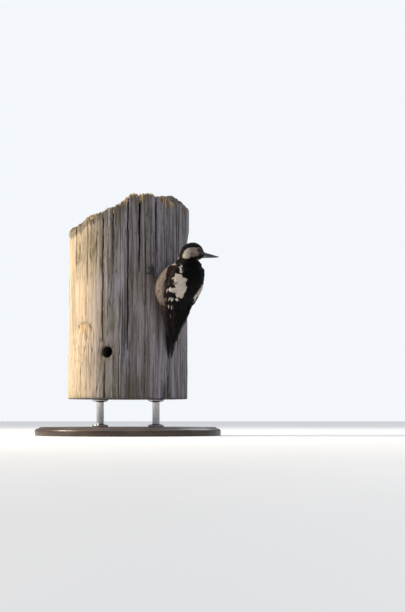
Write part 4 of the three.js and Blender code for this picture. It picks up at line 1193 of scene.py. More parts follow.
def build_under_coat():
    """Flanks, breast, belly and vent: long soft plumes that stand a little apart."""
    rng = np.random.default_rng(14)
    regions = {"flanks": (((70, 122), (-122, -70)), 1.75), "belly": (((122, 238),), 1.85)}
    for name, (angles, gap) in regions.items():
        parts = []
        for pair in angles:
            t, angle = rows_over(body_point, (0.6, 8.2), pair, gap, rng, 0.35)
            edge = smooth(WING_LOWER, np.clip(t, 0, 8))
            keep = off_midline(angle) > edge + 1 - 3 * ease((t - 7) / 0.5) + 5.5 * band(t, 1.0, 5.2, 1.0)
            t, angle = t[keep], angle[keep]
            size = np.interp(t, (0.6, 3, 6, 8.2), (10, 15, 14, 9)) * rng.uniform(0.8, 1.2, len(t))
            high = np.interp(t, (0.6, 2, 5, 8.2), (0.3, 0.8, 1.0, 0.5)) + rng.normal(0, 0.45, len(t))
            parts.append(lay(body_point, PLUME, t, angle, size, 0.3 * size, rng, turn=rng.normal(0, 11, len(t)), low=-2.0,
                             high=high, thick=0.08, arch=0.3, bed=flank_bed))
        coat_piece("coat_" + name, parts, material("plumage"))
    parts = []
    for side, foot in FEET.items():
        surface = thigh_surface(foot)
        t, angle = rows_over(surface, (0.06, 0.8), (0, 360), 1.3, rng)
        size = np.interp(t, (0, 0.8), (4.0, 8.0)) * rng.uniform(0.85, 1.15, len(t))
        parts.append(lay(surface, VANE, t, angle, size, 0.4 * size, rng, turn=rng.normal(0, 8, len(t)), low=-0.9,
                         high=0.4 + rng.normal(0, 0.15, len(t)), marks=thigh_marks, unwrap=(angle + 400 * (side == "left"), t)))
    coat_piece("coat_thighs", parts, material("plumage"))


def thigh_marks(t, angle, points):
    """Thigh feathers are buff, greyer to the heel."""
    return np.stack(np.broadcast_arrays(0 * t, 1 - 0.3 * ease(1 - t), 0.15 + 0 * t, 0.2 + 0 * t), -1)


# ------------------------------------------------------------------ wings
def blade(path, width, seed, count=30, across=9, thick=0.28, rise=None, camber=0.35, pointed=0.5, webs=(0.62, 1.38), fray=0.03):
    """One long feather in body coordinates. Its shaft follows a smooth path of (t, angle, lift); its outer and inner
    webs reach out from it by shares of half the width, closing in a rounded or pointed tip; a raised shaft runs
    along its upper face, and its edges are a little frayed. Returns points, polygons and extras."""
    rng = np.random.default_rng(seed)
    path = np.asarray(path, float)
    u = np.linspace(0, 1, count) ** 0.9
    t, angle, lift = smooth(path, u * (len(path) - 1)).T
    _, per_degree = metric(body_point, t, angle)
    outline = np.minimum(1, 0.45 + 1.6 * u) * np.clip((1.0 - u) / 0.26, 0, 1) ** pointed
    v = np.linspace(-1, 1, across)
    v = np.sign(v) * np.abs(v) ** 1.1
    reach = np.where(v < 0, webs[0], webs[1]) * v * width / 2
    rough = 1 - fray * rng.random((count, 2)).repeat((across // 2, across - across // 2), axis=1) * (np.abs(v) > 0.6)
    side = 1 if angle.mean() > 0 else -1
    around = angle[:, None] - side * reach[None, :] * outline[:, None] * rough / per_degree[:, None]
    top = lift[:, None] + camber * (1 - v * v)[None, :] + 0.3 * np.exp(-(v / 0.1) ** 2)[None, :] * (1 - 0.7 * u[:, None])
    under = top - thick * np.sqrt(1.001 - v * v)[None, :]
    stations = np.broadcast_to(t[:, None], around.shape) + 0 * around
    slant = 0.16 * np.abs(v)[None, :] * outline[:, None]
    stations = stations + slant * ease(u / 0.3)[:, None]
    ring = np.concatenate((np.arange(across), np.arange(across - 2, 0, -1)))
    upper = np.arange(2 * across - 2) < across
    lifts = np.where(upper[None, :], top[:, ring], under[:, ring])
    points, polygons = tube(body_point(stations[:, ring], around[:, ring], lifts))
    flat_u = np.broadcast_to(u[:, None], lifts.shape)
    flat_v = np.broadcast_to(v[ring][None, :], lifts.shape)
    chance = rng.random()
    vane = np.stack((flat_u, flat_v, np.full(lifts.shape, chance)), -1).reshape(-1, 3)
    vane = np.vstack((vane, (0, 0, chance), (1, 0, chance)))
    strip = np.column_stack((np.linspace(0.02, 0.98, len(ring)), np.zeros(len(ring))))
    bake = np.stack(np.broadcast_arrays(strip[None, :, 0], u[:, None]), -1).reshape(-1, 2)
    bake = np.vstack((bake, (0.5, -0.02), (0.5, 1.02)))
    return points, polygons, {"vane": vane, "bake": bake}


# How strong the white spots of each long wing feather are, innermost feather first, in rows from the upper one down.
WING_SPOTS = np.array([
    (0.0, 0.0, 0.0, 0.0, 0.0), (0.8, 0.0, 0.0, 0.0, 0.0), (1.0, 0.0, 0.0, 0.0, 0.0), (0.0, 0.1, 0.0, 0.0, 0.0),
    (0.9, 0.85, 0.0, 0.0, 0.0), (1.0, 0.0, 0.25, 0.0, 0.0), (0.0, 1.0, 0.75, 0.0, 0.0), (0.4, 0.5, 1.0, 0.3, 0.8),
])
TOP_SPOT, SPOT_STEP = 216.5, 13.0


def spot_rows(points, strengths, shift=0.0):
    """The bars attribute: which row of spots a place is in, counted down from the upper one, and how strong it is."""
    row = (TOP_SPOT - points[:, 2] + shift) / SPOT_STEP + 0.5
    inside = (row > 0) & (row < len(strengths))
    strength = np.where(inside, strengths[np.clip(row.astype(int), 0, len(strengths) - 1)], 0.0)
    return np.column_stack((row, strength, 0 * row))


def wing_blades(side):
    """The long feathers of one folded wing, from the innermost on top to the outermost below."""
    parts = []
    lower = lambda t: smooth(WING_LOWER, np.clip(t, 0, 8))
    upper = lambda t: smooth(WING_UPPER, np.clip(t, 0, 8))
    total = 8
    for i in range(total):
        share = (i + 0.5) / total
        end = np.interp(i, (0, 2, 3, 6, 7), (3.0, 2.5, 2.1, 0.62, 0.85))
        start = np.interp(i, (0, total - 1), (5.7, 6.1))
        t = np.linspace(start, end, 5)
        at = np.interp(share, (0, 1), (0.12, 0.95)) + (0.5 - share) * 0.1 * ease((3 - t) / 2.4)
        inner = np.interp(t, (0, 8), (0, 0))
        angle = upper(t) + (lower(t) - upper(t)) * at + inner
        tip = np.interp(share, (0, 1), (14, 42))
        angle = angle + (tip - angle) * ease((2.2 - t) / 1.9) * 0.8
        lift = np.interp(share, (0, 1), (2.75, 1.25)) - 0.5 * ease((t - 5) / 1.0)
        width = np.interp(i, (0, 2, 4, 7), (11.0, 10.6, 10.0, 7.6))
        path = np.column_stack((t, side * angle, lift))
        pointed = np.interp(i, (0, 4, 7), (0.42, 0.45, 0.7))
        points, polygons, extras = blade(path, width, 40 + i, webs=(0.75, 1.25), pointed=pointed)
        extras["bars"] = spot_rows(points, WING_SPOTS[i], 1.0 * np.sin(2.4 * i))
        extras["bake"] = (extras["bake"] * (0.9, 0.92) + (i + 0.05, 0.04)) / (total + 3, 1)
        parts.append((points, polygons, extras))
    for i in range(3):
        t = np.linspace(7.3 - 0.25 * i, 5.75 - 0.3 * i, 4)
        path = np.column_stack((t, side * (lower(t) - 3 - 3.5 * i), 2.2 + 0.25 * (2 - i) + 0 * t))
        points, polygons, extras = blade(path, 5.2 - 0.4 * i, 70 + i, count=16)
        extras["bars"] = spot_rows(points, 0 * WING_SPOTS[0])
        extras["bake"] = (extras["bake"] * (0.9, 0.92) + (total + i + 0.05, 0.04)) / (total + 3, 1)
        parts.append((points, polygons, extras))
    return parts


def covert_bed(t, angle):
    """The coverts lie on the wing's upper surface, which thins to its edges."""
    off = off_midline(angle)
    low, high = smooth(WING_UPPER, np.clip(t, 0, 8)), smooth(WING_LOWER, np.clip(t, 0, 8))
    share = np.clip((off - low) / (high - low), -0.2, 1.4)
    return 2.7 * np.sin(np.pi * np.clip(0.16 + 0.72 * share, 0, 1)) ** 0.7 * ease((8.3 - t) / 1.0)


def covert_marks(t, angle, points):
    """Coverts are brownish black, with the few white spots of the body's markings."""
    shares = markings(t, angle, points)
    shares[..., 0] *= 1.0 * (off_midline(angle) > 50)
    shares[..., 1:3] = 0
    shares[..., 3] = 1
    return shares


def build_wings():
    """Both folded wings: long feathers in one piece, and rows of coverts over them in another."""
    rng = np.random.default_rng(15)
    for name, side in (("left", 1), ("right", -1)):
        points, polygons, extras = joined(wing_blades(side))
        bake = np.clip(extras.pop("bake"), 0, 1)
        new_piece("flight_feathers_" + name, points, polygons, material("flight"), "plumage", extras, bake, stand_for=("wing_" + name,))
        parts = []
        # each row: stations of its roots, from and to; length; width; spacing; lift
        for start, end, size, share, gap in ((4.98, 5.5, 13.5, 0.42, 2.5), (5.5, 6.3, 9.0, 0.5, 2.4), (6.3, 8.05, 6.2, 0.62, 1.9)):
            t, angle = rows_over(body_point, (start, end), (46, 98), gap, rng, 0.2)
            edge = np.interp(t, (4.8, 5.6, 6.3, 7.0, 7.7, 8.1), (74, 79, 86, 95, 97, 84))
            keep = (angle > smooth(WING_UPPER, np.clip(t, 0, 8)) - 4) & (angle < edge)
            t, angle = t[keep], side * angle[keep]
            length = size * rng.uniform(0.9, 1.1, len(t))
            parts.append(lay(body_point, VANE, t, angle, length, share * length, rng, turn=side * rng.normal(-2, 4, len(t)),
                             low=-0.7, high=0.75 + rng.normal(0, 0.12, len(t)), bed=covert_bed, marks=covert_marks, spotted=True))
        coat_piece("coverts_" + name, parts, material("plumage"))


# ------------------------------------------------------------------ tail
def tail_blade(pair, side):
    """One tail feather: a stiff blade bowed off the pole, its webs closing to a worn point, with a strong shaft."""
    root, tip = round_pole(*TAIL_ROOT), round_pole(*TAIL_TIP)
    down = unit(tip - root)
    outward = round_pole(TAIL_TIP[0], 1.0, 0.0)
    over = unit(outward - down * (outward @ down))
    left = np.cross(down, over)
    shorter, tip_offset = TAIL_PAIRS[pair]
    length = TAIL["length"] - shorter
    count, across = 40, 13
    u = np.linspace(0, 1, count)[:, None] ** 0.9
    v = np.linspace(-1, 1, across)[None, :]
    rng = np.random.default_rng(80 + 2 * pair + (side > 0))
    offset = side * (TAIL["spread"] * (pair + 0.5) * (1 - u) + tip_offset * u)
    layer = TAIL["bow"] * np.sin(np.pi * u * length / TAIL["length"]) - TAIL["layer"] * pair - 0.5 * offset ** 2 / TAIL["roundness"]
    half = 0.5 * TAIL["width"] * np.minimum(1, 0.6 + 2 * u) * np.clip((1.0 - u) / 0.34, 0, 1) ** 0.8
    worn = 1 - 0.16 * rng.random((count, across)) * ease((u - 0.55) / 0.4) * (np.abs(v) > 0.75)
    top = 0.42 - 0.62 * v * v + 0.34 * np.exp(-(v / 0.09) ** 2) * (1 - 0.6 * u)
    under = top - 0.5 * np.sqrt(1.001 - v * v)
    ring = np.concatenate((np.arange(across), np.arange(across - 2, 0, -1)))
    upper = np.arange(len(ring)) < across
    lift = np.where(upper, (top + 0 * u)[:, ring], (under + 0 * u)[:, ring]) + layer
    out = offset + (half * v * worn)[:, ring]
    back = (-0.045 * TAIL["length"] * np.abs(v) * (half / (0.5 * TAIL["width"])) * ease(u / 0.3))[:, ring]
    rings = root + (u * length + back)[..., None] * down + out[..., None] * left + lift[..., None] * over
    points, polygons = tube(rings)
    chance = rng.random()
    vane = np.stack(np.broadcast_arrays(u, v[:, ring], chance), -1).reshape(-1, 3)
    vane = np.vstack((vane, (0, 0, chance), (1, 0, chance)))
    column = np.linspace(0.02, 0.98, len(ring))[None, :]
    bake = np.vstack((np.stack(np.broadcast_arrays(column, u), -1).reshape(-1, 2), (0.5, -0.02), (0.5, 1.02)))
    number = 2 * pair + (side > 0)
    bake = (bake * (0.9, 0.92) + (number + 0.05, 0.04)) / (2 * len(TAIL_PAIRS), 1)
    row = (points[:, 2] - 166.0) / 9.5 + 0.5
    strength = (0, 0, 0, 0.75, 1.0)[pair] * band(points[:, 2], 160, 172, 2)
    return points, polygons, {"vane": vane, "bake": bake, "bars": np.column_stack((row, strength, 0 * row))}


def build_tail():
    """The ten tail feathers as one piece."""
    blades = [tail_blade(pair, side) for pair in range(len(TAIL_PAIRS)) for side in (1, -1)]
    points, polygons, extras = joined(blades)
    bake = np.clip(extras.pop("bake"), 0, 1)
    new_piece("tail_feathers", points, polygons, material("flight"), "plumage", extras, bake, stand_for=("tail",))


# ------------------------------------------------------------------ eyes and bill
def closed_loop(rings):
    """A closed skin over rings of points that join end to end as well as round: a bent ring of any section."""
    m, k = rings.shape[:2]
    at = np.arange(m * k).reshape(m, k)
    down, onward = np.roll(at, -1, axis=0), np.roll(at, -1, axis=1)
    quads = np.stack((at, onward, np.roll(down, -1, axis=1), down), -1).reshape(-1, 4)
    points = rings.reshape(-1, 3)
    a, b, c = (points[quads[:, i]] - points.mean(0) for i in (0, 1, 2))
    if np.einsum("ij,ij->", a, np.cross(b, c)) < 0:
        quads = quads[:, ::-1]
    return points, [quads]


def build_lids(name, side):
    """The lids of one eye: a ring whose almond opening lies on the ball. From the opening it rises over a thick rim,
    falls through two folds, and slopes down under the feathers. Heights are out from the middle of the head."""
    turn = np.linspace(0, 2 * np.pi, 96, endpoint=False)[:, None]
    step = np.array((-0.1, 0.0, 0.08, 0.22, 0.4, 0.55, 0.68, 0.85, 1.0, 1.2, 1.5, 1.9, 1.9, 0.9, -0.1))[None, :]
    rise = np.array((-0.2, 0.12, 0.26, 0.32, 0.26, 0.12, 0.1, 0.16, 0.12, 0.0, 0.0, 0.0, -0.7, -0.9, -0.7))[None, :]
    crease = 0.04 * np.sin(34 * turn) * np.exp(-((step - 0.5) / 0.4) ** 2)
    rings = lid_place(side, step, turn, rise + crease)
    points, polygons = closed_loop(rings)
    fold = np.broadcast_to(np.clip(np.abs(step - 0.62) / 0.2, 0, 1), rings.shape[:2])
    scale = np.stack((fold, fold, 0 * fold), -1).reshape(-1, 3)
    new_piece("eyelids_" + name, points, polygons, material("lid"), "leg_skin", {"scale": scale})


def build_eyes():
    """Each eye is a ball, a little flattened, with a low cornea over pupil and iris, turned a little forwards."""
    for name, side in (("left", 1), ("right", -1)):
        turn = np.radians(EYE["forward"])
        ahead = side * TO_LEFT * np.cos(turn) + TO_BILL * np.sin(turn)
        over = TO_CROWN
        across = np.cross(ahead, over)
        off, around = np.meshgrid(np.radians(np.linspace(1.5, 178.5, 40)), np.linspace(0, 2 * np.pi, 48, endpoint=False), indexing="ij")
        radius = EYE["radius"] * (1 - 0.03 * np.sin(off) ** 2) + 0.12 * np.exp(-(off / np.radians(24)) ** 2)
        radius = radius[..., None]
        off3, around3 = off[..., None], around[..., None]
        ball = radius * (ahead * np.cos(off3) + np.sin(off3) * (across * np.cos(around3) + over * np.sin(around3)))
        build_lids(name, side)
        points, polygons = tube(head_place(EYE["x"], side * EYE["set"], EYE["z"]) + ball)
        iris = np.stack((off / np.radians(58), np.abs(around / np.pi - 1), 0 * off), -1).reshape(-1, 3)
        iris = np.vstack((iris, (0, 0, 0), (3, 0, 0)))
        new_piece("eyeball_" + name, points, polygons, material("eye"), "eye", {"iris": iris}, stand_for=("eye_" + name,))


def bill_half(upper):
    """Half of the bill: a round-backed taper along x, ridged along its back and pinched to a chisel at its tip. A
    low ridge runs down each side of the upper half from the nostril."""
    sign = 1 if upper else -1
    length = BILL["length"] - (0 if upper else 0.9)
    u = (np.linspace(0, 1, 56) ** 1.1)[:, None]
    v = np.linspace(0, 1, 33)[None, :]
    half = 0.5 * BILL["width"] * ((1 - u) ** 0.8 + 0.07)
    high = BILL["upper" if upper else "lower"] * BILL["height"] * ((1 - u) ** 0.9 + 0.09)
    meet = BILL["z"] + BILL["split"] * (1 - u) + sign * 0.18
    turn = np.pi * v
    side_ridge = 0.05 * np.exp(-((np.abs(v - 0.5) - 0.27) / 0.06) ** 2) * ease((0.85 - u) / 0.4) * upper
    culmen = 0.05 * np.exp(-((v - 0.5) / 0.035) ** 2)
    out = half * np.cos(turn) * (1 + side_ridge - 0.12 * ease((u - 0.8) / 0.2) * np.sin(turn))
    tall = high * (np.sin(turn) ** 0.9 + culmen + 0.6 * side_ridge)
    y = np.concatenate((out + 0 * u, out[:, -2:0:-8] + 0 * u), 1)
    z = np.concatenate((meet + sign * tall, meet + 0 * out[:, -2:0:-8]), 1)
    rings = head_place(BILL["x"] - 1.5 + u * (length + 1.5) + 0 * y, y, z)
    points, polygons = tube(rings)
    horn = np.stack(np.broadcast_arrays(u, 0.0 if upper else 1.0, 0 * z), -1).reshape(-1, 3)
    return points, polygons, np.vstack((horn, (0, not upper, 0), (1, not upper, 0)))


def build_bill():
    """Both halves of the bill, a thin line apart."""
    for name, upper in (("upper", True), ("lower", False)):
        points, polygons, horn = bill_half(upper)
        new_piece("bill_horn_" + name, points, polygons, material("bill"), "bill_horn", {"horn": horn}, stand_for=("bill_" + name,))


# ------------------------------------------------------------------ legs and feet
def on_wood(foot, distance, angle, off):
    """A place on the wood at a distance from the foot's middle, at an angle from straight up towards the outside."""
    sideways = foot["outward"] * distance * np.sin(np.radians(angle))
    radius = POLE_RADIUS + off
    return round_pole(foot["bearing"] + np.degrees(sideways / radius), radius, foot["z"] + distance * np.cos(np.radians(angle)))


def scaled_rod(path, radius, plates, away):
    """A toe or shank: a rod whose radius swells a little on each of its plates and pads out below."""
    def outline(u, turn):
        plate = (u * plates) % 1
        swell = 1 + 0.07 * np.sin(np.pi * plate) ** 0.5
        pad = 1 + 0.1 * np.clip(-np.sin(turn), 0, 1) * np.sin(np.pi * ((u * 3) % 1)) ** 2
        ends = np.sqrt(np.clip(np.minimum(u / 0.05, (1 - u) / 0.06), 0.05, 1))
        return radius(u) * swell * pad * ends
    rings = sweep(path, outline, 20, 12 * plates, 0.94, away)
    u = np.linspace(0, 1, 12 * plates)[:, None]
    ring = np.minimum((u * plates) % 1, 1 - (u * plates) % 1) * 2
    scale = np.stack(np.broadcast_arrays(u, ring, np.zeros((1, 20))), -1).reshape(-1, 3)
    points, polygons = tube(rings)
    return points, polygons, {"scale": np.vstack((scale, (0, 0, 0), (1, 0, 0)))}


def build_feet():
    """Each foot: a plated shank and four toes, and the claws, which stay pieces of their own."""
    for name, foot in FEET.items():
        bearing, off, z = foot["heel"]
        heel, ankle = round_pole(bearing, POLE_RADIUS + off, z), on_wood(foot, 0, 0, 3.6)
        away = round_pole(foot["bearing"], 1.0, 0.0)
        middle = (heel + ankle) / 2 + away * 0.8
        parts = [scaled_rod([heel, middle, ankle], lambda u: 2.0 - 0.3 * u, 9, away)]
        for angle, length, radius, _ in TOES:
            path = [on_wood(foot, 0, 0, 3.4), on_wood(foot, 0.35 * length, angle, radius + 1.7),
                    on_wood(foot, 0.7 * length, angle, radius + 1.0), on_wood(foot, length, angle, radius + 1.5)]
            parts.append(scaled_rod(path, lambda u, r=radius: r * (1.12 - 0.26 * u), 8, away))
        points, polygons, extras = joined(parts)
        new_piece("foot_skin_" + name, points, polygons, material("leg"), "leg_skin", extras, stand_for=("foot_" + name,))
        for number, (angle, length, radius, reach) in enumerate(TOES, 1):
            path = [on_wood(foot, length - 0.3, angle, radius + 1.5), on_wood(foot, length + 0.45 * reach, angle, radius + 2.6),
                    on_wood(foot, length + 0.85 * reach, angle, radius + 1.2), on_wood(foot, length + reach, angle, 0.35)]
            rings = sweep(path, lambda u, turn: (1.02 - 0.98 * u ** 1.15) * (1 + 0.12 * np.sin(turn)) + 0 * turn, 16, 30, 0.66, away)
            points, polygons = tube(rings)
            horn = np.repeat(np.linspace(0, 1, 30), 16)
            horn = np.append(horn, (0, 1))
            new_piece(f"claw_horn_{name}_{number}", points, polygons, material("claw"), "claw_horn",
                      {"horn": np.column_stack((horn, 0 * horn, 0 * horn))}, stand_for=(f"claw_{name}_{number}",))


# ------------------------------------------------------------------ perch
def end_height(bearing, share):
    """How high the broken end stands: a slant down to the left and front, with a worn rim on the right."""
    x, y = POLE_RADIUS * share * np.sin(np.radians(bearing)), -POLE_RADIUS * share * np.cos(np.radians(bearing))
    slant = 0.52 * np.minimum(x - 12, 0) + 0.1 * (np.minimum(y, 60) - 60)
    rim = -17 * ease((share - 0.75) / 0.25) * ease((x - 50) / 50)
    return POLE_TOP + slant + rim + 2.2 * np.sin(np.radians(bearing * 7)) * share + 1.4 * np.sin(np.radians(bearing * 17 + 40)) * share


def crack_field(bearing, z):
    """Depth of the drying cracks at places on the pole's wall, and how dark they are. Each is a narrow wedge that
    wanders a little as it climbs; many fine checks between them come from stretched noise."""
    depth, dark = np.zeros(np.broadcast(bearing, z).shape), np.zeros(np.broadcast(bearing, z).shape)
    for number, (at, low, high, half, deep) in enumerate(CRACKS):
        wander = 1.3 * (noise(z / 24, number * 7.3) - 0.5) + 0.5 * (noise(z / 6, number * 3.1) - 0.5)
        away = (bearing - at + 180) % 360 - 180
        off = np.abs(np.radians(away) * POLE_RADIUS - wander)
        share = np.sqrt(np.clip(np.minimum(z - low, high - z) / 60, 0, 1))
        width = half * (0.3 + 0.42 * share) * (0.7 + 0.6 * noise(z / 17, number * 5.7)) + 0.25
        wedge = np.clip(1 - off / width, 0, 1) ** 0.7 * (share > 0)
        depth = np.maximum(depth, deep * share * wedge)
        # painted shade: the wedge of each crack is painted dark
        dark = np.maximum(dark, ease(wedge * 1.6) * share)
    arc = np.radians(bearing) * POLE_RADIUS
    for size, tall, deep, cut, seed in ((5.2, 60, 2.6, 0.8, 1), (2.6, 34, 1.2, 0.78, 2)):
        ridge = 1 - np.abs(noise(wrap(arc, size), z / tall, 0, seed) - 0.5) * 2
        strong = ease((noise(wrap(arc, 23), z / 75, 0, seed + 9) - 0.45) / 0.2)
        line = ease((ridge - cut - 0.1) / (0.98 - cut)) * strong
        depth = np.maximum(depth, deep * line)
        # painted shade: the fine checks are painted up to 0.75 dark
        dark = np.maximum(dark, 0.75 * line)
    return depth, dark


def fibre_ends(arc, size, seed):
    """One random number in 0..1 for each fibre of about this width round the pole, with a sharp step between them."""
    return noise(np.floor(wrap(arc, size)), 0.0, 0, seed)


def wrap(arc, size):
    """A distance round the pole counted in cells of about this size, so that a whole turn is a whole number."""
    turn = 2 * np.pi * POLE_RADIUS
    cells = round(turn / size)
    return (arc / turn % 1) * cells


def rim_height(bearing):
    """The pole's broken rim: the slanted end, torn into teeth along the grain, with a notch at every open crack."""
    arc = np.radians(bearing) * POLE_RADIUS
    torn = 3.6 * (fibre_ends(arc, 1.72, 31) - 0.5) + 7.0 * (noise(wrap(arc, 7.5), 0.3, 0, 32) - 0.52)
    torn += 2.5 * (fibre_ends(arc, 4.3, 33) - 0.5)
    notch = 0.35 * crack_field(bearing, 376.0 + 0 * bearing)[0]
    return end_height(bearing, 1.0) + torn - notch


def pole_wall(bearing, z, top):
    """Radius of the pole's wall and its wear. Over the round: broad waviness, ribs of grain, cracks, the bolt hole,
    the scar, and a splintered edge where the outer layers have broken off below the rim."""
    arc = np.radians(bearing) * POLE_RADIUS
    bulge = 2.6 * ease(1 - np.abs(bearing - 92) / 42) * ease((z - 318) / 24)
    ribs = 0.8 * (noise(wrap(arc, 9), z / 150, 0, 3) - 0.5) + 0.6 * (noise(wrap(arc, 3.4), z / 60, 0, 4) - 0.5)
    ribs += 0.55 * (noise(wrap(arc, 1.75), z / 26, 0, 5) - 0.5)
    depth, dark = crack_field(bearing, z)
    radius = POLE_RADIUS + 0.6 * np.sin(np.radians(3 * bearing + 20)) + 0.4 * np.sin(np.radians(8 * bearing + z))
    radius = radius + bulge + ribs - depth
    # the bolt hole
    side = np.radians((bearing - BOLT_HOLE["bearing"] + 180) % 360 - 180) * POLE_RADIUS
    from_hole = np.hypot(side, z - BOLT_HOLE["z"])
    inside = ease((BOLT_HOLE["radius"] * 0.93 - from_hole) / 0.9)
    radius = radius - BOLT_HOLE["depth"] * inside - 0.8 * np.exp(-((from_hole - BOLT_HOLE["radius"]) / 2.0) ** 2)
    # painted shade: the bolt hole is painted near black inside and just round its lip
    dark = np.maximum(dark, ease((BOLT_HOLE["radius"] + 0.4 - from_hole) / 1.6))
    # the scar: a flake torn off below an arched cut
    side = np.radians(bearing - SCAR["bearing"]) * POLE_RADIUS
    arch = SCAR["z"] - 0.028 * side ** 2 + 1.5 * (noise(side / 4, 2.0, 0, 7) - 0.5)
    reach = SCAR["height"] * (0.35 + 0.65 * noise(side / 2.6, 4.0, 0, 8))
    within = band(side, -SCAR["width"], SCAR["width"], 2.5)
    flake = within * ease((arch - z) / 0.9) * ease((z - arch + reach) / 10)
    radius = radius - SCAR["depth"] * flake * (0.6 + 0.4 * ease((side + 12) / 20))
    # painted shadow: a dark line along the arched cut as the shadow of its edge, and the flake painted darker towards
    # its right end as shade
    cut = np.exp(-((z - arch - 0.6) / 1.2) ** 2) * within
    dark = np.maximum(dark, 0.75 * cut + 0.5 * flake * ease((side - 8) / 5))
    fresh = flake * band(side, -13, 5, 5) * ease(noise(side / 1.5, z / 40, 0, 9) * 2)
    # the splintered edge
    ragged = ease(1.7 * noise(wrap(arc, 15), 0.2, 0, 13) - 0.15)
    drop = (15 * fibre_ends(arc, 2.57, 12) ** 2 + 5 * fibre_ends(arc, 0.86, 17)) * ragged
    torn = ease((z - top + drop) / 0.7)
    radius = radius - torn * (0.7 + 2.4 * fibre_ends(arc, 1.72, 14))
    tan = ease((66 - bearing) / 16) * ease((bearing + 150) / 30) * (0.35 + 0.65 * fibre_ends(arc, 1.72, 15))
    tan = tan * (0.2 + 0.8 * ease((bearing + 50) / 50))
    dark = np.maximum(dark, 0.6 * torn * ease((fibre_ends(arc, 1.72, 16) - 0.68) / 0.1))
    broken = np.clip(fresh + torn * (0.2 + 0.8 * tan), 0, 1)
    stain = 0.5 * np.exp(-((from_hole - BOLT_HOLE["radius"]) / 5) ** 2)
    algae = ease((noise(wrap(arc, 30), z / 90, 0, 21) - 0.36) / 0.3) * ease((z - 200) / 120) * ease((15 - bearing) / 50)
    streaks = ease((noise(wrap(arc, 18), z / 60, 0, 22) - 0.62) / 0.2)
    # darker patches added to the stain: a band from bearing -25 to -7 below z 250, a patch from -10 to 14 low down, and
    # a strip along the left of the rim
    dark_patches = 0.55 * band(bearing, -25, -7, 9) * ease((250 - z) / 70) + 0.45 * band(bearing, -10, 14, 9) * ease((130 - z) / 50)
    dark_patches = dark_patches + 0.9 * ease((z - top + 15) / 9) * ease((-12 - bearing) / 25) * ease((bearing + 120) / 30)
    stain = np.clip(stain + 0.65 * algae * ease((bearing + 95) / 20) + 0.4 * streaks + dark_patches, 0, 1)
    # paler, warmer left side: partly sun bleaching, partly painted sunlight on the side the key light comes from; less
    # of it just under the rim
    bleached_and_sunlit = ease((-bearing - 12) / 38) * ease((bearing + 165) / 60) * (1 - 0.6 * ease((z - top + 15) / 9))
    # shares: painted shade, broken wood, stain, and bleaching with painted sunlight
    return radius, np.stack(np.broadcast_arrays(dark, broken, stain, bleached_and_sunlit), -1)


def build_pole():
    """The cut length of pole: a wall on a close grid whose rows crowd round the bolt hole and under the rim, and
    its broken end as rings to the middle."""
    columns = 720
    bearing = np.linspace(-180, 180, columns, endpoint=False)[None, :]
    rim = np.minimum(rim_height(bearing), CAD_BOX[1].z / MM - 0.4)
    hole = BOLT_HOLE["z"] + np.linspace(-14, 14, 25)
    low = np.concatenate((np.linspace(POLE_BOTTOM + 1.5, hole[0] - 3, 13), hole))[:, None]
    share = 1 - (1 - np.linspace(0, 1, 76)[1:, None]) ** 1.9
    z = np.concatenate((low + 0 * bearing, hole[-1] + (rim - hole[-1]) * share))
    radius, wear = pole_wall(bearing, z, rim)
    radius = radius - 0.8 * ease((z - rim + 1.2) / 1.2)
    wall = round_pole(bearing, radius, z)
    shares = np.array((0.968, 0.95, 0.93, 0.905, 0.875, 0.84, 0.8, 0.75, 0.69, 0.61, 0.51, 0.4, 0.27, 0.13, 0.04))[:, None]
    x, y = shares * POLE_RADIUS * np.sin(np.radians(bearing)), -shares * POLE_RADIUS * np.cos(np.radians(bearing))
    outer = ease((shares - 0.72) / 0.2)
    fibre = 5.5 * (noise(np.floor(x / 1.9), np.floor(y / 1.9), 0, 41) - 0.55) * outer
    fibre += 3.0 * (noise(x / 2.6, y / 2.6, 0, 44) - 0.5) * outer + 3.0 * (noise(x / 14, y / 14, 0, 42) - 0.5)
    cracks = crack_field(bearing, 380.0 + 0 * bearing)[0]
    split = ease((cracks / POLE_RADIUS * 1.25 - (1 - shares)) / 0.02)
    height = end_height(bearing, shares) + fibre - 14 * split
    end = np.stack((x, y, np.minimum(height, CAD_BOX[1].z / MM - 0.1)), -1)
    foot = round_pole(bearing, radius[:1] - 1.2, POLE_BOTTOM + 0 * bearing)
    points, polygons = tube(np.concatenate((foot, wall, end)))
    tan = ease(fibre / 3) * ease((shares - 0.55) / 0.4) * ease((50 - bearing) / 30) * (0.4 + 0.6 * ease((bearing + 60) / 60))
    # painted shade on the broken end: darker in its splits and low fibres, and 0.15 over all of it
    end_wear_and_shade = np.stack(np.broadcast_arrays(0.15 + 0.7 * split + 0.2 * ease(-fibre / 3), tan, 0.1, 0.0), -1)
    wear = np.concatenate((wear[:1] * 0, wear, np.clip(end_wear_and_shade, 0, 1))).reshape(-1, 4)
    wear = np.vstack((wear, (0.2, 0, 0.3, 0), (0.6, 0, 0.2, 0)))
    cut_end = np.zeros((1 + len(z) + len(shares), columns))
    cut_end[1 + len(z):] = 1
    cut_end = np.append(cut_end.ravel(), (0, 1))
    new_piece("pole_wood", points, polygons, material("pole"), "pole_wood", {"wear": wear, "cut_end": cut_end},
              stand_for=("perch_pole",))
    build_slivers()


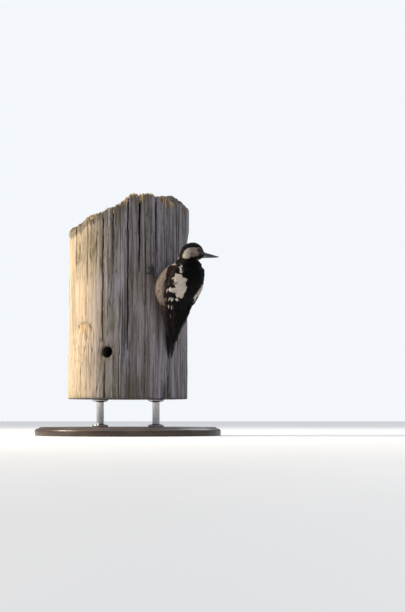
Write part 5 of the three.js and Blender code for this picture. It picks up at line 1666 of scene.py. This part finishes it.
def build_slivers():
    """Broken fibres that stand along the pole's rim: thin four-sided wedges, more of them where the rim is ragged."""
    rng = np.random.default_rng(51)
    n = 1100
    bearing = rng.uniform(-180, 180, n)
    share = 1 - np.abs(rng.normal(0, 0.045, n)) - 0.018
    foot = np.minimum(end_height(bearing, share), rim_height(bearing)) - rng.uniform(3, 8, n)
    place = round_pole(bearing, POLE_RADIUS * share, foot)
    tall = rng.uniform(3.0, 8.5, n)
    lean = rng.normal(0, 0.7, (n, 3)) * (1, 1, 0)
    tangent = round_pole(bearing + 90, 1.0, 0.0) * rng.uniform(0.4, 1.8, n)[:, None]
    inward = round_pole(bearing, -1.0, 0.0) * rng.uniform(0.3, 0.9, n)[:, None]
    corners = np.array(((-1, -1), (1, -1), (1, 1), (-1, 1)), float)
    levels = []
    for height, wide in ((0.0, 1.0), (0.6, 0.85), (0.97, 0.45)):
        centre = place + lean * height + UP * (tall * height)[:, None]
        levels.append(centre[:, None] + wide * (corners[None, :, :1] * tangent[:, None] + corners[None, :, 1:] * inward[:, None]))
    rings = np.stack(levels, 1)
    rings[..., 2] = np.minimum(rings[..., 2], CAD_BOX[1].z / MM - 0.05)
    parts = []
    fresh = rng.uniform(0.1, 1.0, n) * (0.3 + 0.7 * ease((66 - bearing) / 20) * ease((bearing + 70) / 50))
    for sliver, tint in zip(rings, fresh):
        points, polygons = tube(sliver)
        shades = {"wear": np.tile((0.3 * (1 - tint), tint, 0.1, 0.0), (len(points), 1)), "cut_end": np.zeros(len(points))}
        parts.append((points, polygons, shades))
    points, polygons, extras = joined(parts)
    new_piece("pole_slivers", points, polygons, material("pole"), "pole_wood", extras)


# ------------------------------------------------------------------ stand
def turned(outline, sides, centre=(0.0, 0.0)):
    """A turned solid: an outline of radius and height carried round an upright axis."""
    outline = np.asarray(outline, float)
    turn = np.linspace(0, 2 * np.pi, sides, endpoint=False)
    x = centre[0] + outline[:, :1] * np.cos(turn)
    y = centre[1] + outline[:, :1] * np.sin(turn)
    return tube(np.stack(np.broadcast_arrays(x, y, outline[:, 1:]), -1))


def rounded(outline, radius, steps=5):
    """An outline with its inner corners rounded off: each becomes a short quadratic curve."""
    outline = np.asarray(outline, float)
    points = [outline[0]]
    for before, corner, after in zip(outline[:-2], outline[1:-1], outline[2:]):
        a = corner + (before - corner) * min(0.45, radius / max(1e-6, np.linalg.norm(before - corner)))
        b = corner + (after - corner) * min(0.45, radius / max(1e-6, np.linalg.norm(after - corner)))
        for s in np.linspace(0, 1, steps):
            points.append((1 - s) ** 2 * a + 2 * s * (1 - s) * corner + s * s * b)
    return np.array(points + [outline[-1]])


def build_stand():
    """The round base with a stepped edge, and two rods with flanges."""
    low, high = (np.array(v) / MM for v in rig.box("stand_base"))
    radius, top = high[0], high[2]
    outline = [(1, 0), (radius - 1.2, 0), (radius, 1.2), (radius, top - 5), (radius - 3, top - 2.4), (radius - 6.5, top - 2.2), (radius - 8, top), (1, top)]
    disc = turned(rounded(outline, 1.4), 200)
    new_piece("base_disc", *disc, material("base"), "stand_wood", stand_for=("stand_base",))
    for name in ("left", "right"):
        low, high = (np.array(v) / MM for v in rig.box("stand_rod_" + name))
        middle = (low + high) / 2
        flange, z0, z1 = (high[0] - low[0]) / 2, low[2], high[2]
        outline = [(0.5, z0), (flange, z0), (flange, z0 + 3), (6, z0 + 4.5), (6, z1 - 4.5), (flange, z1 - 3), (flange, z1), (0.5, z1)]
        new_piece("steel_rod_" + name, *turned(rounded(outline, 0.8), 64, middle[:2]), material("rod"), "stand_metal", stand_for=("stand_rod_" + name,))


# ------------------------------------------------------------------ stage
def build_stage(s):
    """Floor, world, soft lights and the camera."""
    turn = np.linspace(0, 2 * np.pi, 96, endpoint=False)
    mesh = bpy.data.meshes.new("floor")
    mesh.from_pydata([(9 * np.cos(a), 9 * np.sin(a), 0.0) for a in turn], [], [list(range(96))])
    mesh.materials.append(material("floor"))
    floor = bpy.data.objects.new("floor", mesh)
    bpy.context.scene.collection.objects.link(floor)
    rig.stage(floor)
    world = bpy.data.worlds.new("studio")
    bpy.context.scene.world = world
    world.use_nodes = True
    tree = world.node_tree
    tree.nodes.clear()
    seen = put(tree, "Background", {"Color": (*s.backdrop, 1.0), "Strength": 1.0})
    fill = put(tree, "Background", {"Color": (*s.fill_colour, 1.0), "Strength": s.fill_strength})
    share = put(tree, "MixShader", {0: put(tree, "LightPath").outputs["Is Camera Ray"], 1: fill.outputs[0], 2: seen.outputs[0]})
    put_out = tree.nodes.new("ShaderNodeOutputWorld")
    tree.links.new(share.outputs[0], put_out.inputs[0])
    target = Vector((0.06, -0.05, 0.22))
    # name, bearing from the camera side, elevation, distance, size, watts, colour
    lights = (
        ("key", -91, 26, 1.6, 0.45, s.key_power, tuple(s.key_colour)),
        ("rim", 150, 35, 1.9, 0.8, s.rim_power, (0.9, 0.95, 1.0)),
    )
    for name, bearing, elevation, distance, size, power, colour in lights:
        data = bpy.data.lights.new(name, "AREA")
        data.shape, data.size, data.energy, data.color = "DISK", size, power, colour
        lamp = bpy.data.objects.new(name, data)
        level = distance * np.cos(np.radians(elevation))
        place = round_pole(bearing, level, distance * np.sin(np.radians(elevation)))
        lamp.location = target + Vector(place)
        lamp.rotation_euler = (target - lamp.location).to_track_quat("-Z", "Y").to_euler()
        lamp.visible_camera = False
        bpy.context.scene.collection.objects.link(lamp)
    data = bpy.data.lights.new("overhead", "SUN")
    data.energy, data.angle = s.top_power, np.radians(60)
    bpy.context.scene.collection.objects.link(bpy.data.objects.new("overhead", data))
    data = bpy.data.cameras.new("camera")
    camera = bpy.data.objects.new("camera", data)
    data.sensor_width, data.lens = 36.0, s.lens
    data.clip_start, data.clip_end = 0.05, 50
    camera.location = Vector(s.camera_place)
    camera.rotation_euler = (Vector(s.camera_target) - camera.location).to_track_quat("-Z", "Y").to_euler()
    bpy.context.scene.collection.objects.link(camera)
    bpy.context.scene.camera = camera
    bpy.context.scene.view_settings.view_transform = "Standard"


# ------------------------------------------------------------------ settings, operators and panel
def colour(name, description, default):
    return bpy.props.FloatVectorProperty(name=name, description=description, default=default, subtype="COLOR", size=3, min=0.0, max=1.0)


class WoodpeckerFinish(bpy.types.PropertyGroup):
    """Colours of every finish."""
    black: colour("Black plumage", "Glossy black of the back, crown and wings", (0.0014, 0.0014, 0.0019))
    brown: colour("Brown plumage", "Warm black-brown of the coverts and flight feathers", (0.011, 0.0048, 0.0042))
    white: colour("White plumage", "White of the shoulder patches, cheeks and spots", (0.56, 0.50, 0.435))
    buff: colour("Buff plumage", "Buff of the breast and belly", (0.27, 0.215, 0.18))
    grey: colour("Grey plumage", "Greyer feathers among the buff", (0.18, 0.15, 0.135))
    # darker than the vent's own pink: partly painted shade between the bird and the pole
    red: colour("Vent", "Dull pinkish red under the tail", (0.11, 0.022, 0.02))
    horn: colour("Bill horn", "Slate of the bill and claws", (0.022, 0.021, 0.027))
    leg: colour("Leg skin", "Grey of the legs and toes", (0.042, 0.034, 0.034))
    lid: colour("Eyelid", "Dark bare skin of the eyelids", (0.014, 0.011, 0.011))
    iris: colour("Iris", "Dark red-brown of the eye", (0.060, 0.012, 0.007))
    silver: colour("Silver wood", "Weathered grey of the pole", (0.315, 0.30, 0.35))
    dark_fibre: colour("Dark fibre", "Darkest lines of the pole's grain", (0.045, 0.038, 0.041))
    warm: colour("Warm wood", "Warmer bands in the pole's grain", (0.215, 0.178, 0.148))
    # partly sun bleaching, partly painted sunlight on the side facing the key light
    bleached_and_sunlit: colour("Bleached wood", "Sun-bleached side of the pole", (0.60, 0.475, 0.31))
    broken: colour("Broken wood", "Tan of newly broken fibres", (0.62, 0.43, 0.22))
    stand_wood: colour("Stand wood", "Stained wood of the base", (0.065, 0.034, 0.02))
    steel: colour("Steel", "Brushed steel of the rods", (0.60, 0.60, 0.61))
    floor: colour("Floor", "Pale studio floor", (0.80, 0.80, 0.80))


class WoodpeckerStage(bpy.types.PropertyGroup):
    """Lights and camera."""
    backdrop: colour("Backdrop", "Colour behind the model", (0.90, 0.93, 0.97))
    fill_colour: colour("Fill colour", "Colour of the all-round light", (0.84, 0.905, 1.0))
    fill_strength: bpy.props.FloatProperty(name="Fill", description="Strength of the all-round light", default=0.35, min=0.0)
    key_colour: colour("Key colour", "Colour of the main light", (1.0, 0.86, 0.68))
    key_power: bpy.props.FloatProperty(name="Key", description="Power of the main light", default=41.0, min=0.0, unit="POWER")
    top_power: bpy.props.FloatProperty(name="Top", description="Strength of the even light from above", default=1.7, min=0.0)
    rim_power: bpy.props.FloatProperty(name="Rim", description="Power of the light behind", default=7.0, min=0.0, unit="POWER")
    lens: bpy.props.FloatProperty(name="Lens", description="Focal length of the camera", default=88.5, min=1.0, unit="CAMERA")
    camera_place: bpy.props.FloatVectorProperty(name="Camera", description="Where the camera stands", default=(0.1228, -2.49, 0.03), unit="LENGTH", subtype="XYZ")
    camera_target: bpy.props.FloatVectorProperty(name="Target", description="What the camera looks at", default=(0.1228, -0.09, 0.2076), unit="LENGTH", subtype="XYZ")


class BuildStage(bpy.types.Operator):
    """Makes the floor, the lights and the camera"""
    bl_idname = "woodpecker.stage"
    bl_label = "Stage"

    def execute(self, context):
        build_stage(context.scene.woodpecker_stage)
        return {"FINISHED"}


def operator(idname, label, text, build):
    """An Operator class that makes one piece or group of like pieces."""
    def execute(self, context):
        build()
        return {"FINISHED"}
    words = {"bl_idname": "woodpecker." + idname, "bl_label": label, "__doc__": text, "execute": execute}
    return type("Build" + label.replace(" ", ""), (bpy.types.Operator,), words)


OPERATORS = (
    BuildStage,
    operator("pole", "Pole", "Makes the cut length of weathered pole", build_pole),
    operator("stand", "Stand", "Makes the base and its rods", build_stand),
    operator("skin", "Skin", "Makes the skin under the coat", build_skin),
    operator("eyes", "Eyes", "Makes both eyes", build_eyes),
    operator("bill", "Bill", "Makes both halves of the bill", build_bill),
    operator("feet", "Feet", "Makes the feet and their claws", build_feet),
    operator("head_coat", "Head Coat", "Lays the feathers of the head", build_head_coat),
    operator("neck_coat", "Neck Coat", "Lays the feathers of the neck", build_neck_coat),
    operator("back_coat", "Back Coat", "Lays the feathers of the back", build_back_coat),
    operator("under_coat", "Under Coat", "Lays the feathers of the underside", build_under_coat),
    operator("wings", "Wings", "Makes both folded wings", build_wings),
    operator("tail", "Tail", "Makes the tail feathers", build_tail),
)


class WoodpeckerPanel(bpy.types.Panel):
    """Lists what the add-on makes"""
    bl_idname = "VIEW3D_PT_woodpecker"
    bl_label = "Woodpecker"
    bl_space_type = "VIEW_3D"
    bl_region_type = "UI"
    bl_category = "Woodpecker"

    def draw(self, context):
        for each in OPERATORS:
            self.layout.operator(each.bl_idname)
        for settings in (context.scene.woodpecker_finish, context.scene.woodpecker_stage):
            for name in settings.__annotations__:
                self.layout.prop(settings, name)


CLASSES = (WoodpeckerFinish, WoodpeckerStage, *OPERATORS, WoodpeckerPanel)


def register():
    for each in CLASSES:
        bpy.utils.register_class(each)
    bpy.types.Scene.woodpecker_finish = bpy.props.PointerProperty(type=WoodpeckerFinish)
    bpy.types.Scene.woodpecker_stage = bpy.props.PointerProperty(type=WoodpeckerStage)


def unregister():
    del bpy.types.Scene.woodpecker_stage
    del bpy.types.Scene.woodpecker_finish
    for each in reversed(CLASSES):
        bpy.utils.unregister_class(each)


def main():
    """Registers the classes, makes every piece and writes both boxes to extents.json."""
    register()
    for each in OPERATORS:
        area, name = each.bl_idname.split(".")
        getattr(getattr(bpy.ops, area), name)()
    with open(SIZE_FILE, "w") as f:
        json.dump({"cad": [list(v) for v in CAD_BOX], "visual": [list(v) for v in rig.bounds()]}, f)


if __name__ == "__main__":
    main()
